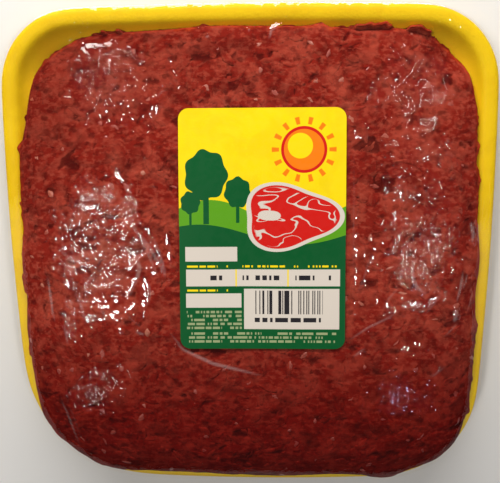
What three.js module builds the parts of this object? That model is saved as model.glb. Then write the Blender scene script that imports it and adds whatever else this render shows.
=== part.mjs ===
// Overwrapped tray pack of minced meat: a foam tray, the meat heaped in it, clear film round both, a label on top.
// Millimetres, +Z up. The origin is on the ground under the middle of the tray, and +Y is the label's top edge.
import * as THREE from "three";

// Tray, over its rim. The film has pulled the two corners at -Y rounder than the other two, most at -X.
const TRAY_WIDTH = 178;
const TRAY_LENGTH = 180.5;
const SIDE_BOW = 1;
const FAR_CORNER_RADIUS = 28;
const NEAR_LEFT_CORNER_RADIUS = 50;
const NEAR_RIGHT_CORNER_RADIUS = 39;
const TRAY_HEIGHT = 20;
const FOAM_THICKNESS = 3.2;
const FLANGE_WIDTH = 4.6;
const WALL_FOOT_INSET = 17.8;

// Section of the tray, as distances in from the rim's outline and down from the rim's top.
// The inside runs from the floor out to the lip, and the outside from the lip back to the base.
const TRAY_INSIDE = [
  [WALL_FOOT_INSET + 5.2, TRAY_HEIGHT - FOAM_THICKNESS],
  [WALL_FOOT_INSET + 2.2, TRAY_HEIGHT - FOAM_THICKNESS - 0.2],
  [WALL_FOOT_INSET, TRAY_HEIGHT - FOAM_THICKNESS - 1.3],
  [FLANGE_WIDTH + 3, 2.7],
  [FLANGE_WIDTH + 1.6, 0.8],
  [FLANGE_WIDTH, 0],
  [2, 0],
  [0.8, 0.5],
  [0, 1.9],
];
const TRAY_OUTSIDE = [
  [0, 3.8],
  [0.6, 4.5],
  [1.6, FOAM_THICKNESS + 0.9],
  [FLANGE_WIDTH + 0.6, FOAM_THICKNESS - 0.1],
  [FLANGE_WIDTH + 2, FOAM_THICKNESS + 0.5],
  [WALL_FOOT_INSET - 1, TRAY_HEIGHT - 2.8],
  [WALL_FOOT_INSET + 0.7, TRAY_HEIGHT - 0.7],
  [WALL_FOOT_INSET + FOAM_THICKNESS, TRAY_HEIGHT],
];
const FLOOR_POINTS = 3;

// Gap that is kept between two pieces that touch
const GAP = 0.3;

// Clear film, drawn thicker than the real one. Past the lip it follows the same kind of section as the tray.
const FILM_THICKNESS = 0.4;
const FILM_OVER_MEAT = 0.6;
const FILM_WRAP = [
  [0.8, -GAP - 0.1],
  [-GAP - 0.05, 0.5],
  [-GAP - 0.05, 4.7],
  [WALL_FOOT_INSET - 0.5, TRAY_HEIGHT - 0.2],
  [WALL_FOOT_INSET + 1.7, TRAY_HEIGHT + GAP],
  [WALL_FOOT_INSET + 6.2, TRAY_HEIGHT + GAP],
];
const FLAP_END_SHARE = 0.63;

// Heap of meat. Its crown is measured above the tray's rim, and falls from the -Y end to the +Y end.
const CROWN_MIDDLE = 13.7;
const CROWN_FALL = 0.126;
const CROWN_LIMIT = 22;
const SHOULDER_POWER = 5;

// Side of the heap, in from the rim. It overhangs the flange: most, and in bulges, at the -Y corners, less at
// both ends, and not at all in the +Y corners.
const BED_INSET = 6.8;
const OVERHANG = 2;
const FAR_START = -0.2;
const FAR_INSET = 2.3;
const FAR_CORNER_INSET = 8;
const NEAR_START = -0.3;
const NEAR_INSET = 0.5;
const NEAR_CORNER_OVERHANG = 3.1;
const EDGE_RISE = 1;
const OVERHANG_RISE = 0.9;
const EDGE_STEP = 0.3;

// Relief of the meat: slow lumps that the film follows too, a ragged edge, crumbs and the grains on them
const LUMPS = { depth: 1.3, size: 34, seed: 11 };
const RAGGED_EDGE = { depth: 1.5, size: 13, seed: 5 };
const CORNER_BULGES = { depth: 3.4, size: 17, seed: 2 };
const CRUMBS = { depth: 0.8, size: 8, seed: 3 };
const GRAINS = { depth: 0.5, size: 4.6, seed: 7 };

// Label, lying on the film
const LABEL_WIDTH = 58;
const LABEL_LENGTH = 83.4;
const LABEL_CORNER_RADIUS = 3.6;
const LABEL_THICKNESS = 0.4;
const LABEL_CENTRE = new THREE.Vector2(5.2, 13.6);
const LABEL_LIFT = GAP + 0.25;

// Fineness of the meshes. The steps over the crown are closer together towards the heap's side.
const CORNER_STEPS = 7;
const SIDE_STEPS = 7;
const CROWN_STEPS = 16;
const CROWN_STEP_POWER = 1.6;
const FILM_CROWN_STEPS = [2, 4, 6, 8, 10, 12, 13, 14, 15, 16];
const LABEL_CORNER_STEPS = 4;
const LABEL_SIDE_STEPS = 6;
const LABEL_RINGS = 4;
const FLOOR_SHARES = [0.6, 0.3];

const RIM_TOP = FILM_THICKNESS + GAP + TRAY_HEIGHT;

const lerp = THREE.MathUtils.lerp;
const smoothstep = THREE.MathUtils.smoothstep;

// A repeatable number from 0 to 1 for each whole-numbered place
function lattice(i, j, seed) {
  let h = Math.imul(i, 374761393) ^ Math.imul(j, 668265263) ^ Math.imul(seed, 974634777);
  h = Math.imul(h ^ (h >>> 13), 1274126177);
  return ((h ^ (h >>> 16)) >>> 0) / 4294967295;
}

// Smooth relief with bumps of about its size, from 0 to its depth
function relief({ depth, size, seed }, x, y) {
  const i = Math.floor(x / size);
  const j = Math.floor(y / size);
  const u = smoothstep(x / size - i, 0, 1);
  const v = smoothstep(y / size - j, 0, 1);
  const low = lerp(lattice(i, j, seed), lattice(i + 1, j, seed), u);
  const high = lerp(lattice(i, j + 1, seed), lattice(i + 1, j + 1, seed), u);
  return depth * lerp(low, high, v);
}

// Points round a rectangle with rounded corners and bowed sides, pulled in by inset, counterclockwise.
// corners gives the radius of each corner, starting with the one at +X +Y.
function outline({ width, length, corners, bow, inset, cornerSteps, sideSteps }) {
  const signs = [[1, 1], [-1, 1], [-1, -1], [1, -1]];
  const arcs = signs.map(([sx, sy], n) => ({
    centre: new THREE.Vector2(sx * (width / 2 - corners[n]), sy * (length / 2 - corners[n])),
    radius: corners[n] - inset,
    start: (n * Math.PI) / 2,
  }));
  const onArc = (arc, share) => {
    const angle = arc.start + (share * Math.PI) / 2;
    return new THREE.Vector2(Math.cos(angle), Math.sin(angle)).multiplyScalar(arc.radius).add(arc.centre);
  };
  const points = [];
  arcs.forEach((arc, n) => {
    for (let i = 0; i < cornerSteps; i++) points.push(onArc(arc, i / cornerSteps));
    const from = onArc(arc, 1);
    const to = onArc(arcs[(n + 1) % arcs.length], 0);
    const outward = new THREE.Vector2(to.y - from.y, from.x - to.x).normalize();
    for (let i = 0; i < sideSteps; i++) {
      const share = i / sideSteps;
      points.push(from.clone().lerp(to, share).addScaledVector(outward, bow * Math.sin(share * Math.PI)));
    }
  });
  return points;
}

// The tray's rim, pulled in by inset. A fineness of 2 adds the middle of each chord.
function rimOutline(inset, fineness = 1) {
  const points = outline({
    width: TRAY_WIDTH,
    length: TRAY_LENGTH,
    corners: [FAR_CORNER_RADIUS, FAR_CORNER_RADIUS, NEAR_LEFT_CORNER_RADIUS, NEAR_RIGHT_CORNER_RADIUS],
    bow: SIDE_BOW,
    inset,
    cornerSteps: CORNER_STEPS,
    sideSteps: SIDE_STEPS,
  });
  if (fineness === 1) return points;
  return points.flatMap((p, k) => [p, p.clone().lerp(points[(k + 1) % points.length], 0.5)]);
}

// A level ring at one place of a section
const sectionRing = ([inset, drop], fineness) =>
  rimOutline(inset, fineness).map((p) => new THREE.Vector3(p.x, p.y, RIM_TOP - drop));

// A ring whose inset and height are each their own at every point of the rim
function freeRing(fineness, insetOf, heightOf) {
  const inner = rimOutline(1, fineness);
  return rimOutline(0, fineness).map((p, k) => {
    const there = p.clone().lerp(inner[k], insetOf(p));
    return new THREE.Vector3(there.x, there.y, heightOf(p));
  });
}

const shrunkRing = (ring, share) => ring.map((p) => new THREE.Vector3(p.x * share, p.y * share, p.z));

// A closed skin over rings of equally many points, from a first single point to a last one
function skin(first, rings, last) {
  const count = rings[0].length;
  const points = [first, ...rings.flat(), last];
  const lastRing = 1 + (rings.length - 1) * count;
  const triangles = [];
  for (let k = 0; k < count; k++) {
    const next = (k + 1) % count;
    triangles.push(0, 1 + k, 1 + next);
    for (let r = 0; r + 1 < rings.length; r++) {
      const [a, b] = [1 + r * count + k, 1 + r * count + next];
      triangles.push(a, a + count, b + count, a, b + count, b);
    }
    triangles.push(lastRing + k, points.length - 1, lastRing + next);
  }
  const geometry = new THREE.BufferGeometry().setFromPoints(points);
  geometry.setIndex(triangles);
  geometry.computeVertexNormals();
  return geometry;
}

// Foam tray: a floor, sloping walls of even thickness and a flange whose lip turns down
function foamTray() {
  const rings = [...TRAY_INSIDE, ...TRAY_OUTSIDE].map((place) => sectionRing(place));
  const [floor, base] = [rings[0], rings[rings.length - 1]];
  return skin(
    new THREE.Vector3(0, 0, floor[0].z),
    [shrunkRing(floor, FLOOR_SHARES[0]), ...rings, shrunkRing(base, FLOOR_SHARES[0])],
    new THREE.Vector3(0, 0, base[0].z),
  );
}

// How far in from the rim the heap's side stands, for a point of the rim's outline
function heapInset(p) {
  const across = Math.abs(p.x) / (TRAY_WIDTH / 2);
  const along = p.y / (TRAY_LENGTH / 2);
  const corner = Math.pow(across * Math.abs(along), 3);
  const far = smoothstep(along, FAR_START, 1) * (FAR_INSET + FAR_CORNER_INSET * corner);
  const near = NEAR_INSET * smoothstep(-along, -NEAR_START, 1);
  const bulge = along < 0 ? corner * (NEAR_CORNER_OVERHANG + relief(CORNER_BULGES, p.x, p.y)) : 0;
  return BED_INSET - OVERHANG + far + near - bulge;
}

const meatInset = (p) => heapInset(p) + relief(RAGGED_EDGE, p.x, p.y) - RAGGED_EDGE.depth / 2;
const filmInset = (p) => heapInset(p) - RAGGED_EDGE.depth / 2;

// Height of the meat's underside on the tray's inside, clear of it sideways and up
function bedHeight(inset) {
  const next = TRAY_INSIDE.findIndex(([there]) => there <= inset - GAP);
  const [outer, outerDrop] = TRAY_INSIDE[next];
  const [inner, innerDrop] = TRAY_INSIDE[next - 1];
  return RIM_TOP + GAP - lerp(outerDrop, innerDrop, (inset - GAP - outer) / (inner - outer));
}

// The meat rests on the wall a little inside its side, and never on the flange itself
const bedInset = (p) => Math.max(BED_INSET, meatInset(p) + EDGE_STEP);

// Height of the heap's side line: just over the wall, and higher where it overhangs the flange
function sideHeight(p) {
  const overhang = Math.max(0, BED_INSET - meatInset(p)) / OVERHANG;
  return bedHeight(bedInset(p)) + EDGE_RISE + OVERHANG_RISE * overhang;
}

const crownShare = (step) => 1 - Math.pow(1 - step / CROWN_STEPS, CROWN_STEP_POWER);

// A point of the heap's smooth surface, at a share of the way from the middle to a point of its side line
function heapPoint(side, share) {
  const [x, y] = [side.x * share, side.y * share];
  const crown = Math.min(CROWN_LIMIT, CROWN_MIDDLE - CROWN_FALL * y) + relief(LUMPS, x, y) - LUMPS.depth / 2;
  const shoulder = Math.sqrt(1 - Math.pow(share, SHOULDER_POWER));
  return new THREE.Vector3(x, y, lerp(side.z, RIM_TOP + crown, shoulder));
}

const heapRing = (sideLine, step) => sideLine.map((side) => heapPoint(side, crownShare(step)));

// Meat: crumbs and grains pitted into the heap's surface, and an underside that fills the tray
function mincedMeat() {
  const pitted = (p) => new THREE.Vector3(p.x, p.y, p.z - relief(CRUMBS, p.x, p.y) - relief(GRAINS, p.x, p.y));
  const sideLine = freeRing(2, meatInset, sideHeight);
  const steps = Array.from({ length: CROWN_STEPS - 1 }, (_, i) => i + 1);
  const top = steps.map((step) => heapRing(sideLine, step).map(pitted));
  const edge = freeRing(2, bedInset, (p) => bedHeight(bedInset(p)));
  const bed = TRAY_INSIDE.slice(0, FLOOR_POINTS).map(([inset, drop]) => sectionRing([inset + GAP, drop - GAP], 2));
  const floor = FLOOR_SHARES.map((share) => shrunkRing(bed[0], share));
  return skin(
    pitted(heapPoint(sideLine[0], 0)),
    [...top, sideLine, edge, ...bed.reverse(), ...floor],
    new THREE.Vector3(0, 0, floor[0][0].z),
  );
}

// Film: over the heap, round the lip, straight to the base and under it, open between the ends of its flaps
function clearFilm() {
  const sideLine = freeRing(1, filmInset, (p) => Math.max(sideHeight(p), RIM_TOP + GAP));
  const over = FILM_CROWN_STEPS.map((step) => heapRing(sideLine, step));
  const wrap = FILM_WRAP.map((place) => sectionRing(place));
  const path = [...over, ...wrap, shrunkRing(wrap[wrap.length - 1], FLAP_END_SHARE)];
  const top = heapPoint(sideLine[0], 0);
  const normals = skin(top, path, new THREE.Vector3(0, 0, FILM_THICKNESS)).getAttribute("normal");
  const moved = (point, index, distance) =>
    point.clone().addScaledVector(new THREE.Vector3().fromBufferAttribute(normals, index), distance);
  const layer = (distance) =>
    path.map((ring, r) => {
      const clearance = r < over.length ? FILM_OVER_MEAT : 0;
      return ring.map((p, k) => moved(p, 1 + r * ring.length + k, clearance + distance));
    });
  return skin(
    moved(top, 0, FILM_OVER_MEAT + FILM_THICKNESS),
    [...layer(FILM_THICKNESS), ...layer(0).reverse()],
    moved(top, 0, FILM_OVER_MEAT),
  );
}

// A point of the heap's smooth surface over a place on the ground
function heapOver(x, y) {
  const angle = Math.atan2(y, x);
  const turn = (w) => Math.abs(Math.sin((Math.atan2(w.y, w.x) - angle) / 2));
  const side = freeRing(1, heapInset, sideHeight).reduce((a, b) => (turn(a) < turn(b) ? a : b));
  const share = Math.hypot(x, y) / Math.hypot(side.x, side.y);
  return heapPoint(new THREE.Vector3(x / share, y / share, side.z), share);
}

// Label: a thin sheet bent to the heap, both faces in rings round its middle
function paperLabel() {
  const edge = outline({
    width: LABEL_WIDTH,
    length: LABEL_LENGTH,
    corners: Array(4).fill(LABEL_CORNER_RADIUS),
    bow: 0,
    inset: 0,
    cornerSteps: LABEL_CORNER_STEPS,
    sideSteps: LABEL_SIDE_STEPS,
  });
  const place = (p, share, lift) => {
    const there = heapOver(LABEL_CENTRE.x + p.x * share, LABEL_CENTRE.y + p.y * share);
    there.z += FILM_OVER_MEAT + FILM_THICKNESS + LABEL_LIFT + lift;
    return there;
  };
  const face = (lift) =>
    Array.from({ length: LABEL_RINGS }, (_, i) => edge.map((p) => place(p, (i + 1) / LABEL_RINGS, lift)));
  return skin(
    place(edge[0], 0, LABEL_THICKNESS),
    [...face(LABEL_THICKNESS), ...face(0).reverse()],
    place(edge[0], 0, 0),
  );
}

function piece(name, geometry, finish) {
  const mesh = new THREE.Mesh(geometry, new THREE.MeshStandardMaterial({ metalness: 0, ...finish }));
  mesh.name = name;
  return mesh;
}

const pack = new THREE.Group();
pack.add(
  piece("tray", foamTray(), { color: 0xe6c60f, roughness: 0.55 }),
  piece("mince", mincedMeat(), { color: 0x8c2b20, roughness: 0.45 }),
  piece("film", clearFilm(), { color: 0xf2f2f0, roughness: 0.08, transparent: true, opacity: 0.2 }),
  piece("label", paperLabel(), { color: 0xf0d20a, roughness: 0.35 }),
);

export default pack;
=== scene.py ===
"""A tray pack of minced meat in clear stretch film: the meat, the film's creases, the foam and the printed label.

Metres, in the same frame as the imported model: +Z up, and +Y towards the label's top edge.
"""

import logging
import math
from collections.abc import Callable, Iterable, Sequence
from dataclasses import dataclass
from enum import Enum

import bpy
import numpy as np
from mathutils import Matrix, Vector
from mathutils.bvhtree import BVHTree


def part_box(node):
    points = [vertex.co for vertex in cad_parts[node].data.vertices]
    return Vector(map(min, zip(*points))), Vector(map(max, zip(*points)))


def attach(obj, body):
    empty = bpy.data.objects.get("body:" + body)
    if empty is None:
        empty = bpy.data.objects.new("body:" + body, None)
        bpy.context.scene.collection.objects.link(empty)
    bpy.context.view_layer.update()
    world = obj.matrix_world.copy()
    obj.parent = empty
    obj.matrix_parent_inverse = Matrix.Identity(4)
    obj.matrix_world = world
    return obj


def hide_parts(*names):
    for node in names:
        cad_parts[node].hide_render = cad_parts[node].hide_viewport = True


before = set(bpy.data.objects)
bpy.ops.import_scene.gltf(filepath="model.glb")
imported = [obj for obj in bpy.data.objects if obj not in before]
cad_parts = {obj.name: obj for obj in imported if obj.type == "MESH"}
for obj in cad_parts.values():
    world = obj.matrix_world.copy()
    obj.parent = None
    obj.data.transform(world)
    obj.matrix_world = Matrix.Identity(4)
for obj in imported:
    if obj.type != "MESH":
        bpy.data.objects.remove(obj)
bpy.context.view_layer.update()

LOG = logging.getLogger("meat_tray_pack")
MM = 0.001
BODY = "root"
FAR_ABOVE = 0.1
TURN = 2 * math.pi
GOLDEN_ANGLE = math.pi * (3 - math.sqrt(5))

Colour = tuple[float, float, float]


# Repeatable patterns


def lattice(i: np.ndarray, j: np.ndarray, seed: int) -> np.ndarray:
    """Repeatable numbers for whole-numbered places.

    Args:
        i, j: The places.
        seed: Picks the pattern.

    Returns:
        Numbers from 0 to 1.
    """
    mask = 0xFFFFFFFF
    h = (i.astype(np.int64) * 374761393 + j.astype(np.int64) * 668265263 + seed * 974634777) & mask
    h = ((h ^ (h >> 13)) * 1274126177) & mask
    return ((h ^ (h >> 16)) & mask) / mask


def bumps(x: np.ndarray, y: np.ndarray, size: float, seed: int) -> np.ndarray:
    """Smooth bumps of about a size.

    Args:
        x, y: Places, in the unit of size.
        size: Distance from one bump to the next.
        seed: Picks the pattern.

    Returns:
        Numbers from 0 to 1.
    """
    i, j = np.floor(x / size), np.floor(y / size)
    u, v = x / size - i, y / size - j
    u, v = u * u * (3 - 2 * u), v * v * (3 - 2 * v)
    low = lattice(i, j, seed) * (1 - u) + lattice(i + 1, j, seed) * u
    high = lattice(i, j + 1, seed) * (1 - u) + lattice(i + 1, j + 1, seed) * u
    return low * (1 - v) + high * v


def layered(x: np.ndarray, y: np.ndarray, size: float, seed: int, layers: int = 3) -> np.ndarray:
    """Bumps of several sizes, each layer half the size and depth of the one before.

    Args:
        x, y: Places, in the unit of size.
        size: Size of the largest bumps.
        seed: Picks the pattern.
        layers: How many sizes there are.

    Returns:
        Numbers from 0 to 1.
    """
    turn = np.array([[0.8, 0.6], [-0.6, 0.8]])
    total, weight, share = np.zeros_like(x), 0.0, 1.0
    for layer in range(layers):
        total += share * bumps(x, y, size, seed + layer)
        weight += share
        x, y = turn[0, 0] * x + turn[0, 1] * y + 17.3 * size, turn[1, 0] * x + turn[1, 1] * y - 9.1 * size
        size, share = size / 2, share / 2
    return total / weight


def worms(x: np.ndarray, y: np.ndarray, size: float, seed: int) -> np.ndarray:
    """Winding rolls with narrow valleys between them.

    Args:
        x, y: Places, in the unit of size.
        size: Width of a roll.
        seed: Picks the pattern.

    Returns:
        Numbers from 0 in a valley to 1 on a roll.
    """
    bend = 0.9 * size
    wx = x + bend * (bumps(x, y, 2 * size, seed + 31) - 0.5)
    wy = y + bend * (bumps(x, y, 2 * size, seed + 57) - 0.5)
    return np.clip(np.abs(2 * bumps(wx, wy, size, seed) - 1) * 2.2, 0, 1) ** 0.6


def eased(value: np.ndarray, low: float, high: float) -> np.ndarray:
    """A smooth step from 0 at low to 1 at high."""
    t = np.clip((value - low) / (high - low), 0, 1)
    return t * t * (3 - 2 * t)


# Reading the CAD solids


class Solid:
    """A CAD node's surface, which can be asked where it lies."""

    def __init__(self, node: str) -> None:
        """Reads the node's mesh.

        Args:
            node: The CAD node's name.
        """
        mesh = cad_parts[node].data
        corners = [v.co.copy() for v in mesh.vertices]
        self.tree = BVHTree.FromPolygons(corners, [tuple(p.vertices) for p in mesh.polygons])

    def height(self, x: np.ndarray, y: np.ndarray, from_below: bool = False) -> np.ndarray:
        """Height of the surface at places.

        Args:
            x, y: The places.
            from_below: Whether it is seen from below instead of from above.

        Returns:
            Heights, and nan beside the surface.
        """
        start = -FAR_ABOVE if from_below else FAR_ABOVE
        way = Vector((0, 0, 1 if from_below else -1))
        found = np.full(x.size, np.nan)
        for n, (px, py) in enumerate(zip(x.ravel(), y.ravel())):
            hit = self.tree.ray_cast(Vector((px, py, start)), way)[0]
            if hit is not None:
                found[n] = hit.z
        return found.reshape(x.shape)

    def reach(self, angles: np.ndarray, levels: Iterable[float]) -> np.ndarray:
        """How far out the surface comes.

        Args:
            angles: The angles that it is asked at.
            levels: The heights that it is asked at.

        Returns:
            For each angle the greatest distance over all of the levels.
        """
        far = 3 * FAR_ABOVE
        found = np.zeros(angles.size)
        for level in levels:
            for n, angle in enumerate(angles):
                way = Vector((math.cos(angle), math.sin(angle), 0))
                hit = self.tree.ray_cast(Vector((0, 0, level)) + far * way, -way)[0]
                if hit is not None:
                    found[n] = max(found[n], math.hypot(hit.x, hit.y))
        return found


def rounded_off(rows: np.ndarray, passes_round: int, passes_out: int) -> np.ndarray:
    """Evens out a table over a ring of rays.

    Args:
        rows: The table, with a row for each angle and a column for each share of the way out.
        passes_round: How often it is evened out round the ring.
        passes_out: How often it is evened out along each ray, whose ends stay.

    Returns:
        The new table.
    """
    rows = rows.copy()
    for _ in range(passes_round):
        rows = (np.roll(rows, 1, 0) + 2 * rows + np.roll(rows, -1, 0)) / 4
    for _ in range(passes_out):
        rows[:, 1:-1] = (rows[:, :-2] + 2 * rows[:, 1:-1] + rows[:, 2:]) / 4
    return rows


def taut(distance: np.ndarray, height: np.ndarray) -> np.ndarray:
    """The line of a sheet that is pulled tight over a section, so that it nowhere sags.

    Args:
        distance: Distances along the section, from the least up.
        height: The section's height at each.

    Returns:
        The sheet's height at each.
    """
    keep: list[int] = []
    for n in range(distance.size):
        while len(keep) > 1:
            a, b = keep[-2], keep[-1]
            rise = (height[b] - height[a]) * (distance[n] - distance[a])
            if rise > (height[n] - height[a]) * (distance[b] - distance[a]):
                break
            keep.pop()
        keep.append(n)
    return np.interp(distance, distance[keep], height[keep])


@dataclass
class Mound:
    """A surface over rays from the middle.

    Attributes:
        reach: How far out the surface goes at each angle.
        heights: Height at each angle, a row, and at each even share of the way out, a column.
    """

    reach: np.ndarray
    heights: np.ndarray

    def radius(self, angle: np.ndarray) -> np.ndarray:
        """How far out the surface goes.

        Args:
            angle: Any angles.

        Returns:
            The distance at each.
        """
        place = np.mod(angle, TURN) / TURN * self.reach.size
        low = np.floor(place).astype(int) % self.reach.size
        part = place - np.floor(place)
        return self.reach[low] * (1 - part) + self.reach[(low + 1) % self.reach.size] * part

    def height(self, x: np.ndarray, y: np.ndarray) -> np.ndarray:
        """Height of the surface. Past its edge it keeps the edge's height.

        Args:
            x, y: Any places.

        Returns:
            The height at each.
        """
        angle = np.arctan2(y, x)
        count, last = self.heights.shape[0], self.heights.shape[1] - 1
        place = np.mod(angle, TURN) / TURN * count
        row = np.floor(place).astype(int)
        u = place - row
        row, after = row % count, (row + 1) % count
        share = np.clip(np.hypot(x, y) / self.radius(angle), 0, 1) * last
        column = np.minimum(np.floor(share).astype(int), last - 1)
        v = share - column
        inner = self.heights[row, column] * (1 - u) + self.heights[after, column] * u
        outer = self.heights[row, column + 1] * (1 - u) + self.heights[after, column + 1] * u
        return inner * (1 - v) + outer * v


@dataclass(frozen=True)
class Rim:
    """Outline of the tray's rim, a rectangle with rounded corners and bowed sides.

    Attributes:
        width: Its size along X.
        length: Its size along Y.
        bow: How far the middle of each side stands out.
        corner_radii: Radius of each corner, from the far right one round to the near right one.
        steps: How many steps each corner and each side has.
    """

    width: float
    length: float
    bow: float = 1 * MM
    corner_radii: tuple[float, float, float, float] = (28 * MM, 28 * MM, 50 * MM, 39 * MM)
    steps: int = 24

    def line(self, inset: float) -> np.ndarray:
        """Points round the outline.

        Args:
            inset: How far the outline is pulled in.

        Returns:
            The points, as rows.
        """
        half_w, half_l = self.width / 2 - self.bow, self.length / 2 - self.bow
        signs = ((1, 1), (-1, 1), (-1, -1), (1, -1))
        points: list[np.ndarray] = []
        arcs = []
        for n, (sx, sy) in enumerate(signs):
            radius = self.corner_radii[n]
            centre = np.array([sx * (half_w - radius), sy * (half_l - radius)])
            turn = (n + np.linspace(0, 1, self.steps + 1)) * math.pi / 2
            arcs.append(centre + (radius - inset) * np.stack([np.cos(turn), np.sin(turn)], 1))
        for n, arc in enumerate(arcs):
            start, end = arc[-1], arcs[(n + 1) % 4][0]
            way = (end - start) / np.linalg.norm(end - start)
            out = np.array([way[1], -way[0]])
            share = np.linspace(0, 1, self.steps + 1)[1:-1, None]
            points += [arc, start + (end - start) * share + out * self.bow * np.sin(share * math.pi)]
        return np.concatenate(points)

    def radius(self, angle: np.ndarray, inset: float) -> np.ndarray:
        """Distance of the outline from the middle.

        Args:
            angle: Any angles.
            inset: How far the outline is pulled in.

        Returns:
            The distance at each angle.
        """
        line = self.line(inset)
        turn = np.mod(np.arctan2(line[:, 1], line[:, 0]), TURN)
        order = np.argsort(turn)
        distance = np.hypot(line[:, 0], line[:, 1])[order]
        return np.interp(np.mod(angle, TURN), turn[order], distance, period=TURN)


@dataclass
class PackShape:
    """The forms that the pieces share: the tray's rim, the film over the meat, and the meat.

    Attributes:
        rays, shares: How many rays the forms are worked out on, and how many places on each.
        inside_edge: How far out on its ray the last place lies, as a share.
        levels_round_rim, level_step: Heights from the rim's top at which the CAD solids' reach is read.
        film_inside_cad, film_below_cad: How far the film stays inside the CAD film's edge and below its top.
        film_past_rim, film_past_meat: How far the film's edge stands out past the rim and past the meat.
        tight_from, tight_at: Shares of the way out from which the film is drawn tight.
        meat_inside_film, meat_below_film: How far the meat stays inside the film's edge and below its top.
        meat_rise: How far the meat rises over the CAD heap.
        meat_nudges: How much further out than the CAD heap it comes, in mm, at angles in degrees.
    """

    rays: int = 360
    shares: int = 121
    inside_edge: float = 0.9995
    levels_round_rim: tuple[float, float] = (-5 * MM, 7 * MM)
    level_step: float = 0.5 * MM
    film_inside_cad: float = 0.1 * MM
    film_below_cad: float = 0.15 * MM
    film_past_rim: float = 0.25 * MM
    film_past_meat: float = 0.5 * MM
    tight_from: float = 0.5
    tight_at: float = 0.75
    meat_inside_film: float = 0.45 * MM
    meat_below_film: float = 0.22 * MM
    meat_rise: float = 1.35 * MM
    meat_nudges: tuple[tuple[float, float], ...] = (
        (0, 0), (30, -1.2), (40, 1), (50, 1.3), (60, 1.6), (70, 0), (130, 0.8), (145, 0.4), (165, -0.8),
        (200, 0), (210, -1.2), (220, -0.6), (230, 1.2), (250, 0.9), (270, 1.2), (280, 0), (310, 0.5),
        (320, 1.9), (330, 2.4), (340, 1.7), (350, 0.8), (360, 0),
    )  # fmt: skip

    def __post_init__(self) -> None:
        """Reads the CAD solids."""
        tray_low, tray_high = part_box("tray")
        self.rim = Rim(tray_high.x - tray_low.x, tray_high.y - tray_low.y)
        self.rim_top = tray_high.z
        self.angles = np.arange(self.rays) * TURN / self.rays
        lowest, highest = self.levels_round_rim
        levels = np.arange(self.rim_top + lowest, self.rim_top + highest, self.level_step)
        reach = rounded_off(Solid("mince").reach(self.angles, levels)[:, None], 3, 0)[:, 0]
        reach += np.interp(np.degrees(self.angles), *zip(*self.meat_nudges)) * MM
        self.film = self._film(levels, reach)
        self.meat = self._meat(reach)

    def _top(self, solid: Solid, reach: np.ndarray) -> tuple[np.ndarray, np.ndarray, np.ndarray]:
        """A solid's top, on every ray from the middle to just inside a reach.

        Args:
            solid: The solid.
            reach: How far out each ray goes.

        Returns:
            The places, as x and as y, and the height at each.
        """
        out = reach[:, None] * np.linspace(0, 1, self.shares)[None, :] * self.inside_edge
        x, y = out * np.cos(self.angles)[:, None], out * np.sin(self.angles)[:, None]
        top = solid.height(x, y)
        return x, y, np.where(np.isnan(top), np.nanmin(top), top)

    def _film(self, levels: np.ndarray, meat_reach: np.ndarray) -> Mound:
        """The film's top: the CAD film's, evened out and pulled tight over the heap's shoulder.

        Args:
            levels: Heights round the rim.
            meat_reach: How far out the meat comes at each angle.

        Returns:
            The film's top.
        """
        solid = Solid("film")
        needed = np.maximum(self.rim.radius(self.angles, -self.film_past_rim), meat_reach + self.film_past_meat)
        reach = np.minimum(solid.reach(self.angles, levels) - self.film_inside_cad, needed)
        reach = rounded_off(reach[:, None], 6, 0)[:, 0]
        x, y, top = self._top(solid, reach)
        even = rounded_off(top, 16, 10)
        tight = even.copy()
        start = int(self.tight_from * self.shares)
        for n in range(self.rays):
            tight[n, start:] = taut(np.hypot(x, y)[n, start:], even[n, start:])
        blend = eased(np.linspace(0, 1, self.shares), self.tight_from, self.tight_at)[None, :]
        heights = even * (1 - blend) + tight * blend
        return Mound(reach, rounded_off(heights, 2, 2) - self.film_below_cad)

    def _meat(self, reach: np.ndarray) -> Mound:
        """The meat's top without its relief: it rises to the film where the film touches it.

        Args:
            reach: How far out the meat comes at each angle.

        Returns:
            The meat's top.
        """
        reach = np.minimum(reach, self.film.radius(self.angles) - self.meat_inside_film)
        x, y, top = self._top(Solid("mince"), reach)
        even = rounded_off(top, 5, 2) + self.meat_rise
        even[:, -1] -= self.meat_rise
        even[:, -2] -= 0.5 * self.meat_rise
        return Mound(reach, np.minimum(even, self.film.height(x, y) - self.meat_below_film))


# Work on meshes


def select_only(piece: bpy.types.Object) -> None:
    """Makes one object the selected and active one.

    Args:
        piece: The object.
    """
    bpy.ops.object.select_all(action="DESELECT")
    piece.select_set(True)
    bpy.context.view_layer.objects.active = piece


def named(piece: bpy.types.Object, name: str) -> bpy.types.Object:
    """Names an object and its mesh.

    Args:
        piece: The object.
        name: Its name.

    Returns:
        The object.
    """
    piece.name = name
    piece.data.name = name
    return piece


def new_piece(name: str, mesh: bpy.types.Mesh) -> bpy.types.Object:
    """Adds a mesh to the scene.

    Args:
        name: The object's name, and the mesh's.
        mesh: The mesh.

    Returns:
        The object, which is the only selected one.
    """
    piece = named(bpy.data.objects.new(name, mesh), name)
    bpy.context.scene.collection.objects.link(piece)
    select_only(piece)
    return piece


def read_points(mesh: bpy.types.Mesh) -> np.ndarray:
    """A mesh's points.

    Args:
        mesh: The mesh.

    Returns:
        The points, as rows.
    """
    flat = np.empty(len(mesh.vertices) * 3)
    mesh.vertices.foreach_get("co", flat)
    return flat.reshape(-1, 3)


def write_points(mesh: bpy.types.Mesh, points: np.ndarray) -> None:
    """Moves a mesh's points."""
    mesh.vertices.foreach_set("co", np.ascontiguousarray(points, dtype=np.float32).ravel())
    mesh.update()


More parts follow.
